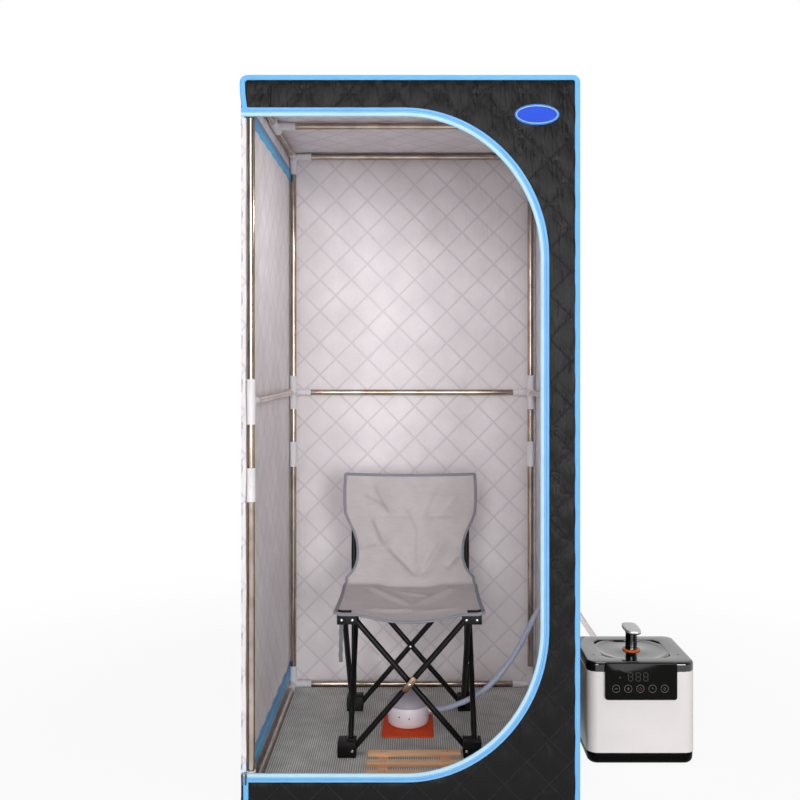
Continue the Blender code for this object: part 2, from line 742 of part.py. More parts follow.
def build_steamer(sauna):
    at = (STEAMER_X, STEAMER_Y)
    outer = rounded(STEAMER_WIDTH, STEAMER_DEPTH, STEAMER_CORNER)
    base_size = (STEAMER_WIDTH - 2 * BASE_INSET, STEAMER_DEPTH - 2 * BASE_INSET)
    base_outline = rounded(*base_size, STEAMER_CORNER - BASE_INSET)
    base = sauna.plate("steamer_base", [base_outline], BASE_HEIGHT, "black_shell", (*at, BASE_HEIGHT / 2))
    sauna.meshed(base)

    body_low = BASE_HEIGHT + GAP
    body_height = BODY_TOP - body_low
    inner_size = (STEAMER_WIDTH - 2 * STEAMER_WALL, STEAMER_DEPTH - 2 * STEAMER_WALL)
    inner = rounded(*inner_size, STEAMER_CORNER - STEAMER_WALL)
    middle = (*at, body_low + body_height / 2)
    body = sauna.meshed(
        sauna.plate("steamer_body", [outer, inner], body_height, "white_shell", middle)
    )
    rear = STEAMER_Y + STEAMER_DEPTH / 2
    pot_y = STEAMER_Y + math.sqrt(POT_R**2 - (OUTLET_X - STEAMER_X) ** 2)
    pipe_start = (OUTLET_X, pot_y + 2 * POT_WALL, OUTLET_Z)
    pipe_end = (OUTLET_X, rear + OUTLET_REACH, OUTLET_Z)
    sauna.join(body, cylinder(pipe_start, pipe_end, OUTLET_R))

    recess_r = POT_R + FLANGE_REACH + RECESS_CLEAR
    throat_r = POT_R + RECESS_CLEAR
    deck_height = DECK_TOP - BODY_TOP - GAP
    deck_z = BODY_TOP + GAP + deck_height / 2
    deck = sauna.meshed(
        sauna.plate("steamer_deck", [outer], deck_height, "black_shell", (*at, deck_z))
    )
    sauna.cut(
        deck,
        cylinder((*at, BODY_TOP - GAP), (*at, DECK_TOP + GAP), throat_r, TURNED_STEPS),
        cylinder((*at, LEDGE_Z), (*at, DECK_TOP + GAP), recess_r, TURNED_STEPS),
    )

    flange_z = LEDGE_Z + GAP
    flange_r = POT_R + FLANGE_REACH
    pot = [
        (0, POT_FLOOR + POT_WALL),
        (POT_R - POT_WALL, POT_FLOOR + POT_WALL),
        (POT_R - POT_WALL, flange_z + FLANGE),
        (flange_r, flange_z + FLANGE),
        (flange_r, flange_z),
        (POT_R, flange_z),
        (POT_R, POT_FLOOR),
        (0, POT_FLOOR),
    ]
    sauna.turned("steamer_pot", pot, "stainless", (*at, 0))
    heater_top = POT_FLOOR - GAP
    heater = cylinder((*at, heater_top - HEATER), (*at, heater_top), HEATER_R, TURNED_STEPS)
    sauna.solid("steamer_heater", heater, "aluminium")

    lid = [
        (0, LID_DISH),
        (flange_r - 2 * LID_RIM, LID_DISH),
        (flange_r - LID_RIM, LID_CROWN),
        (flange_r, LID_EDGE),
        (flange_r, 0),
        (0, 0),
    ]
    cover = sauna.turned("steamer_lid", lid, "black_shell", (*at, LID_Z))
    grip_low = GRIP_TOP - GRIP_HEIGHT
    half_x, half_y = GRIP_WIDTH / 2, GRIP_LENGTH / 2
    sauna.join(
        cover,
        cylinder((*at, LID_Z + LID_DISH / 2), (*at, grip_low + GRIP_HEIGHT / 2), STEM_R),
        block(
            (STEAMER_X - half_x, STEAMER_Y - half_y, grip_low),
            (STEAMER_X + half_x, STEAMER_Y + half_y, GRIP_TOP),
        ),
    )

    height = KEYPAD_TOP - KEYPAD_BOTTOM
    keypad_x = STEAMER_X - STEAMER_WIDTH / 2 + KEYPAD_LEFT + KEYPAD_WIDTH / 2
    place = (keypad_x, STEAMER_FRONT - GAP - KEYPAD / 2, KEYPAD_BOTTOM + height / 2)
    outline = rounded(KEYPAD_WIDTH, height, KEYPAD_CORNER)
    sauna.plate("steamer_keypad", [outline], KEYPAD, "black_shell", place, (math.pi / 2, 0, 0))


def smooth_route(route):
    """Points on a smooth curve through the route's own points."""
    places = [Vector(p) for p in route]
    padded = [2 * places[0] - places[1], *places, 2 * places[-1] - places[-2]]
    made = []
    for a, b, c, d in zip(padded, padded[1:], padded[2:], padded[3:]):
        for i in range(HOSE_SAMPLES):
            t = i / HOSE_SAMPLES
            bend = (2 * a - 5 * b + 4 * c - d) * t * t + (3 * b - a - 3 * c + d) * t * t * t
            made.append((2 * b + (c - a) * t + bend) / 2)
    made.append(places[-1])
    return made


def build_steam_path(sauna):
    sauna.tube("steam_hose", smooth_route(HOSE_ROUTE), HOSE_R, "silicone", HOSE_SIDES)
    pad = rounded(PAD_WIDTH, PAD_DEPTH, PAD_CORNER)
    sauna.plate("heat_pad", [pad], PAD, "orange", (PAD_X, PAD_Y, PAD_Z + PAD / 2))

    cup = [
        (0, CUP_WALL),
        (CUP_R - CUP_WALL, CUP_WALL),
        (CUP_R - CUP_WALL, CUP_HEIGHT),
        (CUP_R, CUP_HEIGHT),
        (CUP_R, 0),
        (0, 0),
    ]
    cup = sauna.turned("diffuser_cup", cup, "cup", (CUP_X, CUP_Y, CUP_Z))
    inlet = (CUP_X + CUP_R - CUP_WALL / 2, CUP_Y, CUP_INLET_Z)
    end = (CUP_X + CUP_R + CUP_INLET_REACH, CUP_Y, CUP_INLET_Z)
    sauna.join(cup, cylinder(inlet, end, CUP_INLET_R))

    base = (0, CUP_WALL)
    outside = arc(base, (CUP_R, CAP_RISE - CUP_WALL), 90, 0, CAP_STEPS)
    inside = arc(base, (CUP_R - CUP_WALL, CAP_RISE - 2 * CUP_WALL), 0, 90, CAP_STEPS)
    profile = [*outside, (CUP_R, 0), (CUP_R - CUP_WALL, 0), *inside]
    sauna.turned("diffuser_cap", profile, "cap", (CUP_X, CUP_Y, CUP_TOP + GAP))


def build_footboard(sauna):
    low_z = MAT + GAP
    slat_z = low_z + BATTEN_HEIGHT
    half = BOARD_WIDTH / 2
    slats = []
    for i in range(SLATS):
        front = BOARD_FRONT + i * SLAT_PITCH
        low = (BOARD_X - half, front, slat_z)
        slats.append(block(low, (BOARD_X + half, front + SLAT_WIDTH, slat_z + SLAT)))
    rear = BOARD_FRONT + (SLATS - 1) * SLAT_PITCH + SLAT_WIDTH
    battens = []
    for side in (-1, 1):
        x = BOARD_X + side * BATTEN_SPREAD / 2
        low = (x - BATTEN_WIDTH / 2, BOARD_FRONT, low_z)
        battens.append(block(low, (x + BATTEN_WIDTH / 2, rear, slat_z + SLAT / 2)))
    board = sauna.solid("footboard", slats[0], "wood")
    sauna.join(board, *battens, *slats[1:])


def main():
    clear_scene()
    sauna = Assembly()
    build_cover(sauna)
    build_posts(sauna)
    build_rails(sauna, "top", TOP_Z)
    build_rails(sauna, "bottom", BOTTOM_Z)
    build_middle_rails(sauna)
    build_crossbar(sauna)
    build_chair(sauna)
    build_steamer(sauna)
    build_steam_path(sauna)
    build_footboard(sauna)


main()
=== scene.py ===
"""Looks of a portable steam sauna: quilted tent, tube frame, camp chair, footboard, diffuser, hose and steamer.

Every place is in metres in the part's own frame: X to the right, Y to the back, Z up, with the origin on the
floor under the tent's centre.
"""

from __future__ import annotations

import logging
import math
from dataclasses import dataclass, field
from enum import Enum
from typing import Callable, Iterable, Sequence, Union

import bmesh
import bpy
import numpy as np
from mathutils import Matrix, Vector

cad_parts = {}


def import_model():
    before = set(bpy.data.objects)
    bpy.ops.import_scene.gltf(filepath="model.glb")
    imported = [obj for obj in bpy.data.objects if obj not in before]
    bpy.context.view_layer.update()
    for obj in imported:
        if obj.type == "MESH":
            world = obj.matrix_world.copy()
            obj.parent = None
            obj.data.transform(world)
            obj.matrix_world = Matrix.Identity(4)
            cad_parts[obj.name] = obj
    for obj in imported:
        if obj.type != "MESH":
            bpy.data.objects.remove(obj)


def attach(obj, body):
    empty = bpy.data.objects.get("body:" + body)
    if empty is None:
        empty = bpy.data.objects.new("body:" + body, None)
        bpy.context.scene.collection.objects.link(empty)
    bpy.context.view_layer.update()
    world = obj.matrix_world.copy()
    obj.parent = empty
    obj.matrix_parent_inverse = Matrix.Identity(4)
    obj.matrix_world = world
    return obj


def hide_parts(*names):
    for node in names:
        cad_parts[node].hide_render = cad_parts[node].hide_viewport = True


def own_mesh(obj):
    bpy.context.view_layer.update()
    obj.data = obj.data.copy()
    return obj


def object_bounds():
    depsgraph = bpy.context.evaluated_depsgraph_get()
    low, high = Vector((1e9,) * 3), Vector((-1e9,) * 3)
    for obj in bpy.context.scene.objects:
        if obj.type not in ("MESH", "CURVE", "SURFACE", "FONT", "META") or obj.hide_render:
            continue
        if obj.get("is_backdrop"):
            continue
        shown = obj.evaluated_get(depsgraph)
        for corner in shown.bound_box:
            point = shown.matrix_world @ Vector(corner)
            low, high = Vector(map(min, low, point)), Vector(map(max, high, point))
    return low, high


LOG = logging.getLogger("sauna")
CABIN = "cabin"
MM = 0.001

Point = Sequence[float]
Value = Union[float, Sequence[float], bpy.types.NodeSocket]

PLACE = "ShaderNodeTexCoord"
SPLIT = "ShaderNodeSeparateXYZ"
STRETCH = "ShaderNodeMapping"
NOISE = "ShaderNodeTexNoise"
MATH = "ShaderNodeMath"
RANGE = "ShaderNodeMapRange"
MIX = "ShaderNodeMix"
BUMP = "ShaderNodeBump"
LIGHT_PATH = "ShaderNodeLightPath"
ATTRIBUTE = "GeometryNodeInputNamedAttribute"
REALISE = "GeometryNodeRealizeInstances"
PAINT = "GeometryNodeSetMaterial"


class Slot(str, Enum):
    """Material slots of the record."""

    COVER = "quilted_cover"
    MAT = "ribbed_mat"
    STEEL = "steel_tube"
    FITTING = "white_fitting"
    TUBE = "black_tube"
    NYLON = "black_nylon"
    CLOTH = "chair_cloth"
    SHELL = "white_shell"
    GLOSS = "black_gloss"
    STAINLESS = "stainless"
    ALUMINIUM = "bare_aluminium"
    HOSE = "clear_hose"
    CUP = "cup_white"
    CAP = "cap_grey"
    PAD = "orange_felt"
    PINE = "pine"


class Plane(Enum):
    """The two coordinates that run along a panel."""

    FRONT = (0, 2)
    SIDE = (1, 2)
    LEVEL = (0, 1)


class Grain(Enum):
    """Small shapes that are repeated."""

    BLOCK = "block"
    BEAD = "bead"


CORNERS = {
    "front_left": (-1, -1),
    "front_right": (1, -1),
    "rear_left": (-1, 1),
    "rear_right": (1, 1),
}


def linear(text: str) -> tuple[float, float, float, float]:
    """Turns an sRGB hex colour into a linear one.

    Args:
        text: Colour such as "#a0b1c2".

    Returns:
        Red, green, blue and full alpha.
    """
    parts = [int(text[i : i + 2], 16) / 255 for i in (1, 3, 5)]
    made = [p / 12.92 if p <= 0.04045 else ((p + 0.055) / 1.055) ** 2.4 for p in parts]
    return made[0], made[1], made[2], 1.0


def scaled(colour: str, share: float) -> tuple[float, float, float, float]:
    """A hex colour in linear light, made darker or lighter by a share."""
    r, g, b, a = linear(colour)
    return min(1.0, r * share), min(1.0, g * share), min(1.0, b * share), a


def per_mm(size: float) -> float:
    """The texture scale that gives features of a size in millimetres."""
    return 1.0 / (size * MM)


def around(sides: int) -> list[float]:
    """Angles of points spaced evenly round a circle."""
    return [2 * math.pi * k / sides for k in range(sides)]


def feed(tree: bpy.types.NodeTree, node: bpy.types.Node, links: dict[str | int, Value]) -> None:
    """Feeds a node's inputs.

    Args:
        tree: The node tree.
        node: The node.
        links: What feeds each input: a socket, or a constant.
    """
    for key, value in links.items():
        if isinstance(value, bpy.types.NodeSocket):
            tree.links.new(value, node.inputs[key])
        else:
            node.inputs[key].default_value = value


def add(
    tree: bpy.types.NodeTree,
    kind: str,
    links: dict[str | int, Value] | None = None,
    out: str | int = 0,
    **settings: object,
) -> bpy.types.NodeSocket:
    """Adds one node with its settings and links.

    Args:
        tree: The node tree.
        kind: The node's type.
        links: What feeds each of its inputs: a socket, or a constant.
        out: The output to hand back.
        **settings: The node's own settings.

    Returns:
        One of the node's outputs.
    """
    node = tree.nodes.new(kind)
    for key, value in settings.items():
        setattr(node, key, value)
    feed(tree, node, links or {})
    return node.outputs[out]


def drifting(
    tree: bpy.types.NodeTree, place: bpy.types.NodeSocket, colour: str, share: float, size_mm: float
) -> bpy.types.NodeSocket:
    """A colour that drifts a little darker and lighter over a distance.

    Args:
        tree: The node tree.
        place: Where the pattern is read.
        colour: sRGB hex colour.
        share: How far the colour drifts each way.
        size_mm: Distance over which it drifts.

    Returns:
        The colour's socket.
    """
    cloud = add(tree, NOISE, {"Vector": place, "Scale": per_mm(size_mm), "Detail": 4.0})
    mixed = add(tree, RANGE, {0: cloud, 1: 0.3, 2: 0.7})
    return add(tree, MIX, {0: mixed, 6: scaled(colour, 1 - share), 7: scaled(colour, 1 + share)}, 2, data_type="RGBA")


@dataclass(frozen=True)
class Finish:
    """A real material and how its surface was made.

    Attributes:
        name: The material's name.
    """

    name: str

    def sockets(self, tree: bpy.types.NodeTree) -> dict[str, Value]:
        """What feeds the shader: a constant or a node's output for each input.

        Args:
            tree: The material's tree.

        Returns:
            What feeds each of the shader's inputs.
        """
        raise NotImplementedError

    def material(self) -> bpy.types.Material:
        """Makes the material once, and hands the same one out afterwards.

        Returns:
            The material.
        """
        found = bpy.data.materials.get(self.name)
        if found is not None:
            return found
        made = bpy.data.materials.new(self.name)
        made.use_nodes = True
        tree = made.node_tree
        feed(tree, tree.nodes["Principled BSDF"], self.sockets(tree))
        return made


@dataclass(frozen=True)
class Moulded(Finish):
    """Moulded plastic, paint or cast metal with a fine grain.

    Attributes:
        colour: sRGB hex colour.
        roughness: Mean roughness.
        metallic: Metallic value.
        grain_mm: Size of the surface grain.
        relief: Strength of the grain's relief.
        coat: Weight of a clear coat.
        ior: Index of refraction.
        drift: Share of colour variation.
        specular: Level of the mirrored light.
    """

    colour: str
    roughness: float
    metallic: float = 0.0
    grain_mm: float = 0.8
    relief: float = 0.05
    coat: float = 0.0
    ior: float = 1.5
    drift: float = 0.05
    specular: float = 0.5

    def sockets(self, tree: bpy.types.NodeTree) -> dict[str, Value]:
        """Grain in the relief, and handling marks in the gloss.

        Args:
            tree: The material's tree.

        Returns:
            What feeds each of the shader's inputs.
        """
        place = add(tree, PLACE, out="Object")
        grain = add(tree, NOISE, {"Vector": place, "Scale": per_mm(self.grain_mm), "Detail": 2.0})
        marks = add(tree, NOISE, {"Vector": place, "Scale": per_mm(25), "Detail": 4.0})
        gloss = add(tree, RANGE, {0: marks, 1: 0.3, 2: 0.7, 3: self.roughness * 0.85, 4: self.roughness * 1.15})
        return {
            "Base Color": drifting(tree, place, self.colour, self.drift, 60),
            "Roughness": gloss,
            "Metallic": self.metallic,
            "Coat Weight": self.coat,
            "IOR": self.ior,
            "Specular IOR Level": self.specular,
            "Normal": add(tree, BUMP, {"Height": grain, "Strength": self.relief, "Distance": 0.3 * MM}),
        }


@dataclass(frozen=True)
class QuiltedCloth(Finish):
    """Polyester cloth quilted to wadding in diamonds.

    Attributes:
        colour: sRGB hex colour of the cloth.
        seam: sRGB hex colour painted along the seams: a painted highlight on the shell, painted shade on the lining.
        roughness: Mean roughness.
        crinkle: Strength of the puckers.
        seam_mm: Width of the soft painted line along a seam.
        specular: Level of the mirrored light.
        plane: The coordinates that run along the panel.
        pitch: Distance from seam to seam along either coordinate.
        phase: Where a rising and a falling seam lie.
    """

    colour: str
    seam: str
    roughness: float
    crinkle: float
    seam_mm: float
    specular: float = 0.30
    plane: Plane = Plane.FRONT
    pitch: float = 0.108
    phase: tuple[float, float] = (0.0, 0.0)

    def sockets(self, tree: bpy.types.NodeTree) -> dict[str, Value]:
        """Crossing seams with thread and a soft painted line in the seam colour, and puckers that die away from them.

        Args:
            tree: The material's tree.

        Returns:
            What feeds each of the shader's inputs.
        """
        place = add(tree, PLACE, out="Object")
        a, b = (add(tree, SPLIT, {0: place}, k) for k in self.plane.value)
        sway = add(tree, NOISE, {"Vector": place, "Scale": per_mm(70), "Detail": 1.0})
        sway = add(tree, RANGE, {0: sway, 3: -0.0022, 4: 0.0022})
        lines = []
        for joined, phase in (("ADD", self.phase[0]), ("SUBTRACT", self.phase[1])):
            line = add(tree, MATH, {0: a, 1: b}, operation=joined)
            line = add(tree, MATH, {0: line, 1: phase}, operation="SUBTRACT")
            lines.append(add(tree, MATH, {0: line, 1: sway}, operation="ADD"))
        gaps = [add(tree, MATH, {0: line, 1: self.pitch / 2}, operation="PINGPONG") for line in lines]
        near = add(tree, MATH, {0: gaps[0], 1: gaps[1]}, operation="MINIMUM")
        first = add(tree, MATH, {0: gaps[0], 1: gaps[1]}, operation="LESS_THAN")
        run = add(tree, MIX, {0: first, 2: lines[0], 3: lines[1]}, data_type="FLOAT")
        width = {0: near, 1: 0.0006, 2: self.seam_mm * MM, 3: 1.0, 4: 0.0}
        soft = add(tree, RANGE, width, interpolation_type="SMOOTHSTEP")
        dash = add(tree, MATH, {0: run, 1: 0.0028}, operation="PINGPONG")
        dash = add(tree, MATH, {0: dash, 1: 0.0019}, operation="LESS_THAN")
        thread = add(tree, RANGE, {0: near, 1: 0.0005, 2: 0.0009, 3: 1.0, 4: 0.0})
        thread = add(tree, MATH, {0: thread, 1: dash}, operation="MULTIPLY")
        streaks = add(tree, STRETCH, {"Vector": place, "Scale": (1.0, 1.0, 0.22)})
        pucker = add(tree, NOISE, {"Vector": streaks, "Scale": per_mm(9), "Detail": 3.0})
        crease = add(tree, NOISE, {"Vector": streaks, "Scale": per_mm(26), "Detail": 4.0})
        weave = add(tree, NOISE, {"Vector": place, "Scale": per_mm(1.0), "Detail": 1.0})
        pull = add(tree, RANGE, {0: near, 1: 0.0, 2: 0.022, 3: 1.0, 4: 0.30})
        pucker = add(tree, MATH, {0: pucker, 1: pull}, operation="MULTIPLY")
        sunk = add(tree, MATH, {0: thread, 1: soft}, operation="SUBTRACT")
        relief = add(tree, BUMP, {"Height": pucker, "Strength": self.crinkle, "Distance": 4 * MM})
        relief = add(
            tree, BUMP, {"Height": crease, "Strength": self.crinkle * 0.7, "Distance": 6 * MM, "Normal": relief}
        )
        relief = add(tree, BUMP, {"Height": sunk, "Strength": 0.5, "Distance": 1.2 * MM, "Normal": relief})
        relief = add(tree, BUMP, {"Height": weave, "Strength": 0.05, "Distance": 0.3 * MM, "Normal": relief})
        cloth = drifting(tree, place, self.colour, 0.06, 110)
        # Over the soft line the seam colour is painted light: a highlight on the shell, shade in the lining's valleys.
        share = add(tree, MATH, {0: soft, 1: 0.85}, operation="MULTIPLY")
        gloss = {0: crease, 1: 0.3, 2: 0.7, 3: self.roughness * 0.88, 4: self.roughness * 1.1}
        return {
            "Base Color": add(tree, MIX, {0: share, 6: cloth, 7: linear(self.seam)}, 2, data_type="RGBA"),
            "Roughness": add(tree, RANGE, gloss),
            "Specular IOR Level": self.specular,
            "Sheen Weight": 0.02,
            "Normal": relief,
        }


@dataclass(frozen=True)
class WovenTape(Finish):
    """Twill tape with slanting ribs.

    Attributes:
        colour: sRGB hex colour.
        rib_mm: Distance from rib to rib, drawn coarser than the real thread so that it shows.
        roughness: Mean roughness.
    """

    colour: str
    rib_mm: float = 2.4
    roughness: float = 0.6

    def sockets(self, tree: bpy.types.NodeTree) -> dict[str, Value]:
        """Slanting ribs in colour and relief.

        Args:
            tree: The material's tree.

        Returns:
            What feeds each of the shader's inputs.
        """
        place = add(tree, PLACE, out="Object")
        x, y, z = (add(tree, SPLIT, {0: place}, k) for k in range(3))
        slant = add(tree, MATH, {0: add(tree, MATH, {0: x, 1: y}, operation="ADD"), 1: z}, operation="ADD")
        rib = add(tree, MATH, {0: slant, 1: self.rib_mm * MM / 2}, operation="PINGPONG")
        rib = add(tree, RANGE, {0: rib, 1: 0.0, 2: self.rib_mm * MM / 2})
        thread = add(tree, NOISE, {"Vector": place, "Scale": per_mm(1.1), "Detail": 2.0})
        dyed = drifting(tree, place, self.colour, 0.05, 40)
        share = add(tree, MATH, {0: rib, 1: 0.3}, operation="MULTIPLY")
        relief = add(tree, BUMP, {"Height": rib, "Strength": 0.25, "Distance": 0.3 * MM})
        return {
            "Base Color": add(tree, MIX, {0: share, 6: dyed, 7: scaled(self.colour, 0.82)}, 2, data_type="RGBA"),
            "Roughness": self.roughness,
            "Specular IOR Level": 0.3,
            "Normal": add(tree, BUMP, {"Height": thread, "Strength": 0.1, "Distance": 0.3 * MM, "Normal": relief}),
        }


@dataclass(frozen=True)
class Canvas(Finish):
    """Plain-woven coated canvas, creased where it has been folded.

    Attributes:
        colour: sRGB hex colour.
        thread_mm: Distance from thread to thread, drawn coarser than the real one so that it shows.
    """

    colour: str
    thread_mm: float = 1.3

    def sockets(self, tree: bpy.types.NodeTree) -> dict[str, Value]:
        """Warp and weft, thick threads, and fine creases.

        Args:
            tree: The material's tree.

        Returns:
            What feeds each of the shader's inputs.
        """
        place = add(tree, PLACE, out="Object")
        x, y, z = (add(tree, SPLIT, {0: place}, k) for k in range(3))
        half = self.thread_mm * MM / 2
        warp = add(tree, MATH, {0: x, 1: half}, operation="PINGPONG")
        weft = add(tree, MATH, {0: add(tree, MATH, {0: y, 1: z}, operation="ADD"), 1: half}, operation="PINGPONG")
        weave = add(tree, MATH, {0: warp, 1: weft}, operation="MULTIPLY")
        weave = add(tree, RANGE, {0: weave, 1: 0.0, 2: half * half})
        wide = add(tree, STRETCH, {"Vector": place, "Scale": (0.2, 1.0, 1.0)})
        slub = add(tree, NOISE, {"Vector": wide, "Scale": per_mm(6), "Detail": 4.0})
        crease = add(tree, NOISE, {"Vector": place, "Scale": per_mm(20), "Detail": 5.0})
        cloth = drifting(tree, place, self.colour, 0.06, 60)
        share = add(tree, RANGE, {0: slub, 1: 0.45, 2: 0.75, 3: 0.0, 4: 0.5})
        relief = add(tree, BUMP, {"Height": weave, "Strength": 0.12, "Distance": 0.25 * MM})
        return {
            "Base Color": add(tree, MIX, {0: share, 6: cloth, 7: scaled(self.colour, 0.86)}, 2, data_type="RGBA"),
            "Roughness": add(tree, RANGE, {0: crease, 1: 0.3, 2: 0.7, 3: 0.66, 4: 0.84}),
            "Sheen Weight": 0.1,
            "Normal": add(tree, BUMP, {"Height": crease, "Strength": 0.4, "Distance": 3 * MM, "Normal": relief}),
        }


@dataclass(frozen=True)
class DrawnSteel(Finish):
    """Stainless tube, drawn and polished.

    Attributes:
        colour: sRGB hex colour of the clean metal, tinted warm as painted reflection.
        stain: sRGB hex colour of the smears, a warm brown that is also painted reflection of the room.
    """

    colour: str
    stain: str

    def sockets(self, tree: bpy.types.NodeTree) -> dict[str, Value]:
        """Bright metal with polishing lines and faint smears whose brown is partly painted reflection.

        Args:
            tree: The material's tree.

        Returns:
            What feeds each of the shader's inputs.
        """
        place = add(tree, PLACE, out="Object")
        lines = add(tree, NOISE, {"Vector": place, "Scale": per_mm(2.2), "Detail": 3.0})
        smear = add(tree, NOISE, {"Vector": place, "Scale": per_mm(70), "Detail": 4.0})
        # The smears mix in a warm brown: handling marks, and painted reflection of the room.
        share, clean = add(tree, RANGE, {0: smear, 1: 0.35, 2: 0.7, 3: 0.0, 4: 0.7}), linear(self.colour)
        return {
            "Base Color": add(tree, MIX, {0: share, 6: clean, 7: linear(self.stain)}, 2, data_type="RGBA"),
            "Metallic": 1.0,
            "Roughness": add(tree, RANGE, {0: lines, 1: 0.3, 2: 0.7, 3: 0.13, 4: 0.21}),
            "Normal": add(tree, BUMP, {"Height": lines, "Strength": 0.02, "Distance": 0.2 * MM}),
        }


@dataclass(frozen=True)
class PlanedPine(Finish):
    """Planed and oiled pine, its grain along X.

    Attributes:
        light: sRGB hex colour of the early wood.
        dark: sRGB hex colour of the late wood.
    """

    light: str
    dark: str

    def sockets(self, tree: bpy.types.NodeTree) -> dict[str, Value]:
        """Growth bands and fibres.

        Args:
            tree: The material's tree.

        Returns:
            What feeds each of the shader's inputs.
        """
        place = add(tree, PLACE, out="Object")
        long = add(tree, STRETCH, {"Vector": place, "Scale": (0.05, 1.0, 1.0)})
        bands = add(tree, NOISE, {"Vector": long, "Scale": per_mm(8), "Detail": 3.0})
        fibre = add(tree, NOISE, {"Vector": long, "Scale": per_mm(1.2), "Detail": 3.0})
        tone = add(tree, RANGE, {0: bands, 1: 0.35, 2: 0.65})
        tone = add(tree, MIX, {0: tone, 6: linear(self.light), 7: linear(self.dark)}, 2, data_type="RGBA")
        share = add(tree, RANGE, {0: fibre, 1: 0.5, 2: 0.8, 3: 0.0, 4: 0.45})
        relief = add(tree, BUMP, {"Height": fibre, "Strength": 0.12, "Distance": 0.3 * MM})
        return {
            "Base Color": add(tree, MIX, {0: share, 6: tone, 7: scaled(self.dark, 0.75)}, 2, data_type="RGBA"),
            "Roughness": add(tree, RANGE, {0: bands, 1: 0.3, 2: 0.7, 3: 0.48, 4: 0.62}),
            "Normal": add(tree, BUMP, {"Height": bands, "Strength": 0.06, "Distance": 0.5 * MM, "Normal": relief}),
        }


@dataclass(frozen=True)
class Silicone(Finish):
    """Milky extruded silicone, with painted light: paler beside the tent and bluish as painted shade inside it.

    Attributes:
        inside: sRGB hex colour in the tent, a bluish painted shade.
        outside: sRGB hex colour beside it, paler with painted light.
        wall: X of the tent's wall.
    """

    inside: str
    outside: str
    wall: float

    def sockets(self, tree: bpy.types.NodeTree) -> dict[str, Value]:
        """A soft skin, painted bluish as shade in the tent and paler as light outside.

        Args:
            tree: The material's tree.

        Returns:
            What feeds each of the shader's inputs.
        """
        place = add(tree, PLACE, out="Object")
        x = add(tree, SPLIT, {0: place}, 0)
        # This share mixes painted light into the colour: bluish shade in the tent, paler light beside it.
        share = add(tree, RANGE, {0: x, 1: self.wall - 0.06, 2: self.wall + 0.02})
        skin = add(tree, NOISE, {"Vector": place, "Scale": per_mm(14), "Detail": 3.0})
        pale = drifting(tree, place, self.outside, 0.04, 50)
        return {
            "Base Color": add(tree, MIX, {0: share, 6: linear(self.inside), 7: pale}, 2, data_type="RGBA"),
            "Roughness": add(tree, RANGE, {0: skin, 1: 0.3, 2: 0.7, 3: 0.26, 4: 0.38}),
            "IOR": 1.41,
            "Transmission Weight": add(tree, RANGE, {0: share, 3: 0.10, 4: 0.85}),
            "Subsurface Weight": 0.25,
            "Subsurface Scale": 0.004,
            "Normal": add(tree, BUMP, {"Height": skin, "Strength": 0.03, "Distance": 0.4 * MM}),
        }


@dataclass(frozen=True)
class Printed(Finish):
    """A mark printed behind a clear panel, with a faint painted glow.

    Attributes:
        colour: sRGB hex colour.
        lit: Strength of its painted glow.
    """

    colour: str
    lit: float

    def sockets(self, tree: bpy.types.NodeTree) -> dict[str, Value]:
        """A thin ink with a faint painted glow.

        Args:
            tree: The material's tree.

        Returns:
            What feeds each of the shader's inputs.
        """
        place = add(tree, PLACE, out="Object")
        ink = add(tree, NOISE, {"Vector": place, "Scale": per_mm(1.5), "Detail": 2.0})
        return {
            "Base Color": drifting(tree, place, self.colour, 0.05, 8),
            "Roughness": add(tree, RANGE, {0: ink, 3: 0.35, 4: 0.5}),
            "Emission Color": linear(self.colour),
            "Emission Strength": self.lit,
        }


def faced_out(mesh: bpy.types.Mesh) -> None:
    """Turns a mesh's faces outwards.

    Args:
        mesh: The mesh.
    """
    bm = bmesh.new()
    bm.from_mesh(mesh)
    bmesh.ops.recalc_face_normals(bm, faces=bm.faces)
    bm.to_mesh(mesh)
    bm.free()


def smoothed(mesh: bpy.types.Mesh, sharp: float) -> None:
    """Shades a mesh smooth, apart from edges above an angle in degrees."""
    mesh.shade_smooth()
    mesh.set_sharp_from_angle(angle=math.radians(sharp))


